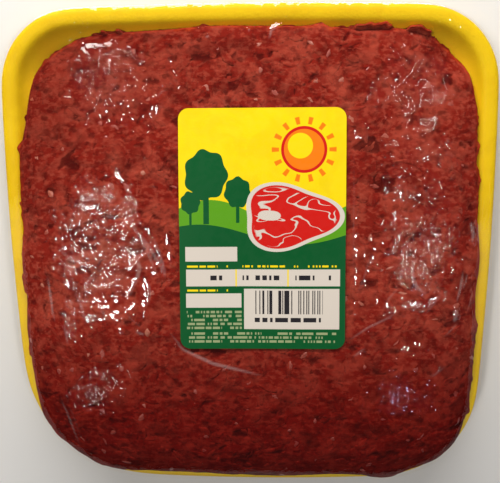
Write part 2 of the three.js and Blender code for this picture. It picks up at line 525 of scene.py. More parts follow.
def write_values(mesh: bpy.types.Mesh, name: str, values: np.ndarray) -> None:
    """Stores one number for each point of a mesh."""
    attribute = mesh.attributes.new(name, "FLOAT", "POINT")
    attribute.data.foreach_set("value", np.ascontiguousarray(values, dtype=np.float32))


def apply_modifier(piece: bpy.types.Object, kind: str, **settings: object) -> None:
    """Adds a modifier to an object and applies it.

    Args:
        piece: The object.
        kind: The modifier's type.
        settings: The modifier's settings.
    """
    select_only(piece)
    modifier = piece.modifiers.new(kind.title(), kind)
    for name, value in settings.items():
        setattr(modifier, name, value)
    bpy.ops.object.modifier_apply(modifier=modifier.name)


def close_rim(piece: bpy.types.Object, keep: float) -> None:
    """Closes a sheet's open edge by drawing it in towards its middle.

    Args:
        piece: The sheet.
        keep: How much of its size the edge keeps, before the hole that is left is closed.
    """
    select_only(piece)
    bpy.ops.object.mode_set(mode="EDIT")
    bpy.ops.mesh.select_mode(type="EDGE")
    bpy.ops.mesh.select_all(action="DESELECT")
    bpy.ops.mesh.select_non_manifold()
    bpy.ops.mesh.extrude_region_move()
    bpy.ops.transform.resize(value=(keep, keep, 1), center_override=(0, 0, 0))
    bpy.ops.mesh.extrude_region_move()
    bpy.ops.mesh.merge(type="CENTER")
    bpy.ops.object.mode_set(mode="OBJECT")


@dataclass
class RingedSheet:
    """A sheet of square rings round a middle, to be laid over a form.

    Attributes:
        piece: The object.
        ring: Each point's ring, counted from the middle.
        angle: Each point's angle.
    """

    piece: bpy.types.Object
    ring: np.ndarray
    angle: np.ndarray

    @classmethod
    def make(cls, name: str, rings: int) -> "RingedSheet":
        """Makes a flat sheet.

        Args:
            name: The object's name.
            rings: How many rings it has.

        Returns:
            The sheet.
        """
        bpy.ops.object.select_all(action="DESELECT")
        bpy.ops.mesh.primitive_grid_add(x_subdivisions=2 * rings, y_subdivisions=2 * rings, size=2)
        piece = named(bpy.context.object, name)
        flat = read_points(piece.data)
        ring = np.round(np.max(np.abs(flat[:, :2]), axis=1) * rings)
        return cls(piece, ring, np.arctan2(flat[:, 1], flat[:, 0]))

    def lay(self, points: np.ndarray) -> None:
        """Moves the sheet's points and shades it smooth.

        Args:
            points: The new points, as rows.
        """
        write_points(self.piece.data, points)
        select_only(self.piece)
        bpy.ops.object.shade_smooth()


def scatter(
    name: str,
    unit: bpy.types.Object,
    spots: np.ndarray,
    turns: np.ndarray,
    sizes: np.ndarray,
    bends: np.ndarray,
    lay: Callable[[np.ndarray, np.ndarray, np.ndarray, np.ndarray], np.ndarray],
) -> tuple[bpy.types.Object, np.ndarray]:
    """Copies a small piece to many spots, as one mesh.

    Args:
        name: The new object's name.
        unit: The piece that is copied, about the origin and one unit large. It is removed.
        spots: Where each copy lies.
        turns: How far each copy is turned.
        sizes: Length, width and height of each copy.
        bends: How much each copy is bent sideways, as a share of its length.
        lay: Gives the height of points from their x, y, height in the copy and copy's number.

    Returns:
        The object, and for each of its points the number of its copy.
    """
    base = read_points(unit.data)
    faces = np.array([tuple(p.vertices) for p in unit.data.polygons])
    bpy.data.objects.remove(unit)
    count = len(spots)
    along = base[None, :, 0] * sizes[:, None, 0]
    across = base[None, :, 1] * sizes[:, None, 1]
    across = across + bends[:, None] * sizes[:, None, 0] * ((2 * base[None, :, 0]) ** 2 - 0.5)
    cos, sin = np.cos(turns)[:, None], np.sin(turns)[:, None]
    x = spots[:, None, 0] + along * cos - across * sin
    y = spots[:, None, 1] + along * sin + across * cos
    which = np.repeat(np.arange(count), len(base))
    z = lay(x.ravel(), y.ravel(), (base[None, :, 2] * sizes[:, None, 2]).ravel(), which)
    points = np.stack([x.ravel(), y.ravel(), z], 1)
    joined = (faces[None] + (np.arange(count) * len(base))[:, None, None]).reshape(-1, faces.shape[1])
    mesh = bpy.data.meshes.new(name)
    mesh.from_pydata(points.tolist(), [], joined.tolist())
    piece = new_piece(name, mesh)
    bpy.ops.object.shade_smooth()
    return piece, which


# Materials


class Signal:
    """A value in a node tree. Sums with it add Math nodes."""

    def __init__(self, tree: "Tree", socket: bpy.types.NodeSocket) -> None:
        """Holds a node's output and the tree that it is in."""
        self.tree, self.socket = tree, socket

    def math(self, operation: str, *others: "Signal | float", clamp: bool = False) -> "Signal":
        """Adds a Math node whose first value is this one, and returns its result."""
        return self.tree.math(operation, self, *others, clamp=clamp)

    def __add__(self, other: "Signal | float") -> "Signal":
        """This value plus another."""
        return self.math("ADD", other)

    def __sub__(self, other: "Signal | float") -> "Signal":
        """This value less another."""
        return self.math("SUBTRACT", other)

    def __rsub__(self, other: float) -> "Signal":
        """A number less this value."""
        return self.tree.math("SUBTRACT", other, self)

    def __mul__(self, other: "Signal | float") -> "Signal":
        """This value times another."""
        return self.math("MULTIPLY", other)

    def __truediv__(self, other: "Signal | float") -> "Signal":
        """This value over another."""
        return self.math("DIVIDE", other)

    def least(self, other: "Signal | float") -> "Signal":
        """The smaller one of this value and another."""
        return self.math("MINIMUM", other)

    def distance(self, other: "Signal") -> "Signal":
        """Distance to a place that lies this value across and another along."""
        return (self * self + other * other).math("SQRT")

    def ramp(self, low: float, high: float, at_low: float = 0.0, at_high: float = 1.0) -> "Signal":
        """This value's place between low and high, eased, as a number between at_low and at_high."""
        feeds = {"Value": self, "From Min": low, "From Max": high, "To Min": at_low, "To Max": at_high}
        return self.tree.signal("MapRange", feeds, "Result", interpolation_type="SMOOTHSTEP")


class Tree:
    """Short ways to put nodes into one node tree."""

    def __init__(self, tree: bpy.types.NodeTree) -> None:
        """Holds a node tree."""
        self.tree = tree

    def feed(self, socket: bpy.types.NodeSocket, value: object) -> None:
        """Links an input, or sets it.

        Args:
            socket: The input.
            value: A signal or a shader's node to link it to, or a plain value.
        """
        if isinstance(value, Signal):
            self.tree.links.new(value.socket, socket)
        elif isinstance(value, bpy.types.Node):
            self.tree.links.new(value.outputs[0], socket)
        elif isinstance(value, tuple) and len(value) == 3 and len(socket.default_value) == 4:
            socket.default_value = (*value, 1)
        else:
            socket.default_value = value

    def node(self, kind: str, feeds: dict | None = None, **settings: object) -> bpy.types.Node:
        """Adds a node.

        Args:
            kind: Its type, without ShaderNode.
            feeds: What each of its inputs gets, by name or number.
            settings: Its own settings.

        Returns:
            The node.
        """
        made = self.tree.nodes.new("ShaderNode" + kind)
        for name, value in settings.items():
            setattr(made, name, value)
        for name, value in (feeds or {}).items():
            self.feed(made.inputs[name], value)
        return made

    def signal(self, kind: str, feeds: dict | None = None, output: str | int = 0, **settings: object) -> Signal:
        """Adds a node, as node does, and takes one of its outputs, by name or number."""
        return Signal(self, self.node(kind, feeds, **settings).outputs[output])

    def math(self, operation: str, *values: Signal | float, clamp: bool = False) -> Signal:
        """Adds a Math node and takes its result."""
        return self.signal("Math", dict(enumerate(values)), operation=operation, use_clamp=clamp)

    def axes(self, place: Signal) -> tuple[Signal, ...]:
        """A vector's X, Y and Z."""
        return tuple(Signal(self, out) for out in self.node("SeparateXYZ", {0: place}).outputs)

    def joined(self, x: Signal, y: Signal | float = 0.0, z: Signal | float = 0.0) -> Signal:
        """A vector from its X, Y and Z."""
        return self.signal("CombineXYZ", {0: x, 1: y, 2: z})

    def mix(self, low: Signal | Colour, high: Signal | Colour, share: Signal, blend: str = "MIX") -> Signal:
        """A colour between two colours.

        Args:
            low: The first colour.
            high: The second.
            share: The second colour's share.
            blend: How the second is laid over the first.

        Returns:
            The colour.
        """
        made = self.node("Mix", data_type="RGBA", blend_type=blend)
        self.feed(made.inputs["Factor"], share)
        for socket, colour in zip((s for s in made.inputs if s.type == "RGBA"), (low, high)):
            self.feed(socket, colour)
        return Signal(self, next(s for s in made.outputs if s.type == "RGBA"))

    def noise(self, place: Signal, size: float, detail: float = 2.0, **feeds: float) -> Signal:
        """Noise from 0 to 1 with patches of about a size. The feeds go to the node's other inputs."""
        return self.signal("TexNoise", {"Vector": place, "Scale": 1 / size, "Detail": detail, **feeds}, "Fac")

    def stored(self, name: str) -> Signal:
        """A number that the mesh stores for each point."""
        return self.signal("Attribute", output="Fac", attribute_name=name)

    def bump(self, height: Signal, distance: float, normal: Signal | None = None) -> Signal:
        """A normal that is tilted by relief.

        Args:
            height: The relief, from 0 to 1.
            distance: How high 1 is.
            normal: The normal before, if it isn't the mesh's own.

        Returns:
            The normal.
        """
        feeds = {"Strength": 1.0, "Distance": distance, "Height": height}
        if normal is not None:
            feeds["Normal"] = normal
        return self.signal("Bump", feeds, "Normal")

    def effect(self, group: bpy.types.NodeTree, feeds: dict[str, Signal | float]) -> tuple[Signal, ...]:
        """Places a node group, whose inputs get the feeds, and takes its outputs."""
        return tuple(Signal(self, out) for out in self.node("Group", feeds, node_tree=group).outputs)


class Effect(Tree):
    """A node group. Its inputs and outputs are numbers, but for Place, which is a vector."""

    def __init__(self, name: str, inputs: Sequence[str], outputs: Sequence[str] = ("Mask",)) -> None:
        """Makes the group.

        Args:
            name: Its name.
            inputs: Its inputs' names.
            outputs: Its outputs' names.
        """
        super().__init__(bpy.data.node_groups.new(name, "ShaderNodeTree"))
        for way, labels in (("INPUT", inputs), ("OUTPUT", outputs)):
            for label in labels:
                kind = "NodeSocketVector" if label == "Place" else "NodeSocketFloat"
                self.tree.interface.new_socket(label, in_out=way, socket_type=kind)
        start = self.tree.nodes.new("NodeGroupInput")
        self.end = self.tree.nodes.new("NodeGroupOutput")
        self.inputs = tuple(Signal(self, start.outputs[label]) for label in inputs)

    def put_out(self, **values: Signal) -> bpy.types.NodeTree:
        """Links the group's outputs.

        Args:
            values: What each output gives, by name.

        Returns:
            The group.
        """
        for label, value in values.items():
            self.feed(self.end.inputs[label], value)
        return self.tree


def mottle_effect() -> bpy.types.NodeTree:
    """Soft patches of two sizes, as on meat, foam and paper.

    Returns:
        Their node group.
    """
    group = Effect("mottle", ("Place", "Size"), ("Broad", "Fine"))
    place, size = group.inputs
    scale = group.math("DIVIDE", 1.0, size)
    feeds = {"Vector": place, "Detail": 3.0}
    broad = group.signal("TexNoise", {**feeds, "Scale": scale, "Distortion": 0.7}, "Fac")
    fine = group.signal("TexNoise", {**feeds, "Scale": scale * 3.7, "Roughness": 0.6}, "Fac")
    return group.put_out(Broad=broad.ramp(0.3, 0.7), Fine=fine.ramp(0.3, 0.7))


class MaterialTree(Tree):
    """A material's node tree, with the place on the piece and the mottle at hand."""

    def __init__(self, tree: bpy.types.NodeTree, mottle: bpy.types.NodeTree) -> None:
        """Adds the place.

        Args:
            tree: The material's nodes.
            mottle: The effect of soft patches.
        """
        super().__init__(tree)
        self.mottle = mottle
        self.place = self.signal("TexCoord", output="Object")

    def patches(self, size: float, place: Signal | None = None) -> tuple[Signal, ...]:
        """Broad patches of about a size and fine ones, from 0 to 1, read at a place or at the piece's own."""
        return self.effect(self.mottle, {"Place": place or self.place, "Size": size})

    def facing_up(self) -> Signal:
        """How far the surface faces up, from -1 to 1."""
        return self.axes(self.signal("NewGeometry", output="Normal"))[2]


@dataclass(frozen=True)
class Finish:
    """A material's look. Each kind of finish has a surface of its own.

    Attributes:
        name: The material's name.
    """

    name: str = "finish"

    def surface(self, tree: MaterialTree) -> bpy.types.Node:
        """Adds the nodes of the surface to the material's and returns the shader."""
        raise NotImplementedError

    def build(self, mottle: bpy.types.NodeTree) -> bpy.types.Material:
        """Makes the material.

        Args:
            mottle: The effect of soft patches.

        Returns:
            The material.
        """
        material = bpy.data.materials.new(self.name)
        material.use_nodes = True
        material.node_tree.nodes.clear()
        tree = MaterialTree(material.node_tree, mottle)
        tree.node("OutputMaterial", {"Surface": self.surface(tree)})
        return material


@dataclass(frozen=True)
class MeatFinish(Finish):
    """Raw minced meat, moist and a little see-through; painted shade darkens its pits, near side and far left corner.

    Attributes:
        dark, middle, light: The meat's own colours.
        edge: Colour along the heap's edge, partly the thin meat's own orange over the tray and partly painted glow of
            the tray's yellow light.
        shade, corner_shade: Painted shade, which the colours are multiplied by at the near side and at the far left
            corner.
        shade_along: Where along Y the painted shade starts, and where it is full.
        corner_along: The same for the corner's painted shade, on Y less X.
        glow: How far light of each colour gets into the meat.
        drawn_out: Size of the smears along Y over their size along X.
        patch_size, smear_size, spot_size, warp, grain_size: Sizes of its patterns.
    """

    name: str = "raw_minced_meat"
    dark: Colour = (0.06, 0.0028, 0.0022)
    middle: Colour = (0.225, 0.0135, 0.0075)
    light: Colour = (0.39, 0.064, 0.036)
    edge: Colour = (0.50, 0.060, 0.008)
    shade: Colour = (0.54, 0.20, 0.20)
    corner_shade: Colour = (0.72, 0.66, 0.66)
    shade_along: tuple[float, float] = (-5 * MM, -60 * MM)
    corner_along: tuple[float, float] = (75 * MM, 135 * MM)
    glow: tuple[float, float, float] = (2.4, 0.7, 0.4)
    drawn_out: float = 0.68
    patch_size: float = 10 * MM
    smear_size: float = 5.6 * MM
    spot_size: float = 4.5 * MM
    warp: float = 2 * MM
    grain_size: float = 0.7 * MM

    def surface(self, tree: MaterialTree) -> bpy.types.Node:
        """Adds the nodes of the surface.

        Args:
            tree: The material's nodes.

        Returns:
            The shader.
        """
        x, y, z = tree.axes(tree.place)
        drawn = tree.joined(x * self.drawn_out, y, z)
        broad, fine = tree.patches(self.patch_size)
        broad_smears, fine_smears = tree.patches(self.smear_size, drawn)
        bent = tree.signal("TexNoise", {"Vector": tree.place, "Scale": 1 / self.warp}, "Color")
        bent = tree.signal("VectorMath", {0: bent, 1: (self.warp,) * 3, 2: drawn}, operation="MULTIPLY_ADD")
        spots = tree.signal("TexVoronoi", {"Vector": bent, "Scale": 1 / self.spot_size}, "Distance")
        # Painted glow of the tray's yellow light along the heap's edge, with the thin meat's own orange
        painted_edge_glow = fine_smears.ramp(0.3, 0.75, 0.35, 1.0) * tree.stored("edge").ramp(0.0, 1.0, 0, 0.6)
        base = self.middle
        for colour, share in (
            (self.light, broad.ramp(0.3, 1.0, 0, 0.6)),
            (self.dark, fine.ramp(0.45, 0.0, 0, 0.4)),
            (self.light, fine_smears.ramp(0.4, 1.0, 0, 0.62)),
            (self.dark, broad_smears.ramp(0.5, 0.0, 0, 0.42)),
            # Painted shade in the pits and the valleys between the rolls
            (self.dark, tree.stored("pit").ramp(0.3, 1.0, 0, 0.75)),
            (self.dark, spots.ramp(0.30, 0.12, 0, 0.55)),
            (self.light, tree.stored("tone").ramp(0.0, 1.0, 0, 0.32)),
            (self.edge, painted_edge_glow),
        ):
            base = tree.mix(base, colour, share)
        # Painted shade: darker towards the near side and at the far left corner
        base = tree.mix(base, self.shade, y.ramp(*self.shade_along), "MULTIPLY")
        base = tree.mix(base, self.corner_shade, (y - x).ramp(*self.corner_along), "MULTIPLY")
        grain = tree.noise(tree.place, self.grain_size, 3)
        return tree.node(
            "BsdfPrincipled",
            {
                "Base Color": base,
                "Roughness": grain.ramp(0.3, 0.7, 0.4, 0.6),
                "Specular IOR Level": 0.0,
                "Subsurface Weight": 0.25,
                "Subsurface Radius": self.glow,
                "Subsurface Scale": 0.6 * MM,
                "Normal": tree.bump(grain, 0.12 * MM),
            },
        )


@dataclass(frozen=True)
class FatFinish(Finish):
    """Flecks of pale fat, stained by the meat.

    Attributes:
        pale, stained: The fat's colours.
        shade: Painted shade, which they are multiplied by at the near side.
        shade_along: Where along Y the painted shade starts, and where it is full.
        glow: How far light of each colour gets into the fat.
    """

    name: str = "fat_fleck"
    pale: Colour = (0.46, 0.15, 0.09)
    stained: Colour = (0.33, 0.045, 0.025)
    shade: Colour = (0.58, 0.26, 0.26)
    shade_along: tuple[float, float] = (-5 * MM, -60 * MM)
    glow: tuple[float, float, float] = (1.6, 0.8, 0.6)

    def surface(self, tree: MaterialTree) -> bpy.types.Node:
        """Adds the nodes of the surface.

        Args:
            tree: The material's nodes.

        Returns:
            The shader.
        """
        _, fine = tree.patches(4 * MM)
        base = tree.mix(self.stained, self.pale, tree.stored("tone").ramp(0.1, 1.0))
        base = tree.mix(base, self.stained, fine.ramp(0.4, 1.0, 0, 0.6))
        # Painted shade: darker towards the near side
        base = tree.mix(base, self.shade, tree.axes(tree.place)[1].ramp(*self.shade_along), "MULTIPLY")
        return tree.node(
            "BsdfPrincipled",
            {
                "Base Color": base,
                "Roughness": fine.ramp(0.0, 1.0, 0.35, 0.5),
                "Subsurface Weight": 0.25,
                "Subsurface Radius": self.glow,
                "Subsurface Scale": 0.5 * MM,
                "Normal": tree.bump(fine, 0.1 * MM),
            },
        )


@dataclass(frozen=True)
class FilmFinish(Finish):
    """Clear stretch film: see-through, glossy, and finely crinkled where the mesh says so.

    Attributes:
        tint: Colour of what shines through it.
        veil: Colour of its haze.
        haze, fold_haze: The haze's share on smooth film and on a crease.
        gloss, most: Factor on its mirror share, and the greatest share.
        side_gloss: Factor on that share where the film stands upright.
        fold_turns: How the fine wrinkles are turned left and right of the middle, in degrees.
        fold_size, curl_size: Distance from one fine wrinkle or curl to the next.
        curl: The curls' share in the relief.
        swell_size: Size of the soft unevenness.
    """

    name: str = "stretch_film"
    tint: Colour = (1.0, 0.99, 0.98)
    veil: Colour = (0.9, 0.88, 0.86)
    haze: float = 0.0015
    fold_haze: float = 0.13
    gloss: float = 1.2
    most: float = 0.056
    side_gloss: float = 0.2
    fold_turns: tuple[float, float] = (-30.0, 10.0)
    fold_size: float = 1.6 * MM
    curl_size: float = 2.1 * MM
    curl: float = 0.6
    swell_size: float = 5 * MM

    def _folds(self, tree: MaterialTree, turn: float, size: float, drawn_out: float) -> Signal:
        """Fine wrinkles that run one way.

        Args:
            tree: The material's nodes.
            turn: How far the place is turned so that the wrinkles run along Y, in degrees.
            size: Distance from one wrinkle to the next.
            drawn_out: Size across a wrinkle over its length.

        Returns:
            Height from 0 to 1.
        """
        feeds = {"Vector": tree.place, "Angle": math.radians(turn)}
        turned = tree.signal("VectorRotate", feeds, rotation_type="Z_AXIS")
        scaled = tree.signal("VectorMath", {0: turned, 1: (1.0, drawn_out, 1.0)}, operation="MULTIPLY")
        return tree.noise(scaled, size, 1, Distortion=0.8)

    def surface(self, tree: MaterialTree) -> bpy.types.Node:
        """Adds the nodes of the surface.

        Args:
            tree: The material's nodes.

        Returns:
            The shader.
        """
        crinkle = tree.stored("crinkle")
        on_right = tree.axes(tree.place)[0].ramp(-10 * MM, 10 * MM)
        left, right = (self._folds(tree, turn, self.fold_size, 0.2) for turn in self.fold_turns)
        curled = self._folds(tree, 0.0, self.curl_size, 0.8)
        drawn = left * (1.0 - on_right) + right * on_right + curled * self.curl
        normal = tree.bump(tree.noise(tree.place, self.swell_size), 0.25 * MM)
        normal = tree.bump(drawn * crinkle.ramp(0.0, 1.0, 0.12, 1.0), 0.6 * MM, normal)
        rough = crinkle.ramp(0.0, 1.0, 0.05, 0.075)
        clear = tree.node("BsdfTransparent", {"Color": self.tint})
        shine = tree.node("BsdfGlossy", {"Roughness": rough, "Normal": normal, "Color": (1.0, 1.0, 1.0)})
        veil = tree.node("BsdfDiffuse", {"Color": self.veil, "Normal": normal})
        mirror = tree.signal("Fresnel", {"IOR": 1.5, "Normal": normal}) * self.gloss
        share = mirror.least(self.most) * tree.facing_up().ramp(0.45, 0.92, self.side_gloss, 1.0)
        haze = tree.stored("fold").ramp(0.35, 1.0, self.haze, self.fold_haze)
        veiled = tree.node("MixShader", {0: haze, 1: clear, 2: veil})
        film = tree.node("MixShader", {0: share, 1: veiled, 2: shine})
        # Light goes straight through to what the film wraps
        shadow = tree.signal("LightPath", output="Is Shadow Ray")
        return tree.node("MixShader", {0: shadow, 1: film, 2: clear})


@dataclass(frozen=True)
class FoamFinish(Finish):
    """Yellow expanded foam with a satin skin and shallow cells.

    Attributes:
        yellow, deep: The skin's colours.
        painted_well_light: Painted light in the well between the rim and the meat, a brighter yellow that cancels the
            well's shade.
        well_heights: Where the painted light starts, and where it is full.
        patch_size, cell_size: Sizes of its patterns.
        glow: How far light of each colour gets into the foam.
    """

    name: str = "yellow_tray_foam"
    yellow: Colour = (0.86, 0.58, 0.004)
    deep: Colour = (0.74, 0.46, 0.002)
    painted_well_light: Colour = (1.0, 0.72, 0.014)
    well_heights: tuple[float, float] = (19.2 * MM, 15 * MM)
    patch_size: float = 14 * MM
    cell_size: float = 0.9 * MM
    glow: tuple[float, float, float] = (1.5, 1.0, 0.2)

    def surface(self, tree: MaterialTree) -> bpy.types.Node:
        """Adds the nodes of the surface.

        Args:
            tree: The material's nodes.

        Returns:
            The shader.
        """
        broad, fine = tree.patches(self.patch_size)
        feeds = {"Vector": tree.place, "Scale": 1 / self.cell_size}
        cells = tree.signal("TexVoronoi", feeds, "Distance", feature="SMOOTH_F1")
        base = tree.mix(self.yellow, self.deep, broad.ramp(0.2, 1.0, 0, 0.5))
        # Painted light: a brighter yellow on the well's upward faces, cancelling the shade between the rim and the
        # meat
        low = tree.axes(tree.place)[2].ramp(*self.well_heights)
        base = tree.mix(base, self.painted_well_light, low * tree.facing_up().ramp(0.0, 0.3))
        return tree.node(
            "BsdfPrincipled",
            {
                "Base Color": base,
                "Roughness": fine.ramp(0.0, 1.0, 0.42, 0.58),
                "Specular IOR Level": 0.12,
                "Subsurface Weight": 0.1,
                "Subsurface Radius": self.glow,
                "Subsurface Scale": 1 * MM,
                "Normal": tree.bump(cells, 0.06 * MM),
            },
        )


class PrintShapes:
    """Node groups that mask one printed shape each. Their places are mm from the label's middle."""

    soft_edge: float = 0.12
    box_inputs: tuple[str, ...] = ("X", "Y", "Left", "Right", "Low", "High")

    def __init__(self) -> None:
        """Makes the groups."""
        self.box = self._box()
        self.blob = self._blob()
        self.hill = self._hill()
        self.rays = self._rays()
        self.text = self._text()
        self.bars = self._bars()

    def _edge(self, inside: Signal) -> Signal:
        """A mask from the distance inside an edge."""
        return inside.math("DIVIDE", self.soft_edge, clamp=True)

    def _box(self) -> bpy.types.NodeTree:
        """An upright rectangle.

        Returns:
            Its group.
        """
        group = Effect("print_box", self.box_inputs)
        x, y, left, right, low, high = group.inputs
        across, along = (x - left).least(right - x), (y - low).least(high - y)
        return group.put_out(Mask=self._edge(across.least(along)))

    def _blob(self) -> bpy.types.NodeTree:
        """An ellipse with lobes. Its Inside output is the distance in from its edge.

        Returns:
            Its group.
        """
        names = ("X", "Y", "Centre X", "Centre Y", "Half Width", "Half Height", "Lobes", "Lobe Depth", "Turn")
        group = Effect("print_blob", names, ("Mask", "Inside"))
        x, y, centre_x, centre_y, half_width, half_height, lobes, depth, turn = group.inputs
        across, along = (x - centre_x) / half_width, (y - centre_y) / half_height
        angle = along.math("ARCTAN2", across) + turn
        radius = (angle * lobes).math("SINE") * depth + 1.0
        inside = (radius - across.distance(along)) * half_height
        return group.put_out(Mask=self._edge(inside), Inside=inside)

    def _hill(self) -> bpy.types.NodeTree:
        """Everything under a rolling line.

        Returns:
            Its group.
        """
        group = Effect("print_hill", ("X", "Y", "Base", "Rise", "Length", "Shift"))
        x, y, base, rise, length, shift = group.inputs
        line = base + rise * ((x - shift) / length).math("COSINE")
        return group.put_out(Mask=self._edge(line - y))

    def _rays(self) -> bpy.types.NodeTree:
        """A ring of rays round a point.

        Returns:
            Its group.
        """
        group = Effect("print_rays", ("X", "Y", "Centre X", "Centre Y", "Inner", "Outer", "Count"))
        x, y, centre_x, centre_y, inner, outer, count = group.inputs
        across, along = x - centre_x, y - centre_y
        away = across.distance(along)
        ring = (away - inner).least(outer - away)
        wave = (along.math("ARCTAN2", across) * count).math("COSINE")
        ray = (wave - 0.35).math("MULTIPLY", 3.0, clamp=True)
        return group.put_out(Mask=self._edge(ring) * ray)

    def _text(self) -> bpy.types.NodeTree:
        """Rows of short strokes with gaps between them.

        Returns:
            Its group.
        """
        group = Effect("print_text", (*self.box_inputs, "Pitch", "Stroke"))
        x, y, _, _, low, _, pitch, width = group.inputs
        (field,) = group.effect(self.box, dict(zip(self.box_inputs, group.inputs)))
        rows = (y - low) / pitch
        row, part = rows.math("FLOOR"), rows.math("FRACT")
        band = (part - 0.5).math("ABSOLUTE").math("LESS_THAN", 0.3)
        spaced = x + row * 7.3
        letter = (spaced / width).math("FLOOR")
        word = (spaced / (width * 5.7)).math("FLOOR")
        by_letter, by_word = (
            group.signal("TexWhiteNoise", {"Vector": group.joined(number, row)}, "Value")
            for number in (letter, word)
        )
        marks = by_letter.math("GREATER_THAN", 0.3) * by_word.math("GREATER_THAN", 0.16)
        return group.put_out(Mask=marks * (band * field))

    def _bars(self) -> bpy.types.NodeTree:
        """Upright bars of uneven width.

        Returns:
            Its group.
        """
        group = Effect("print_bars", (*self.box_inputs, "Module"))
        (field,) = group.effect(self.box, dict(zip(self.box_inputs, group.inputs)))
        number = (group.inputs[0] / group.inputs[-1]).math("FLOOR")
        value = group.signal("TexWhiteNoise", {"Vector": group.joined(number)}, "Value")
        return group.put_out(Mask=value.math("GREATER_THAN", 0.5) * field)


Layer = tuple[Signal, Colour]


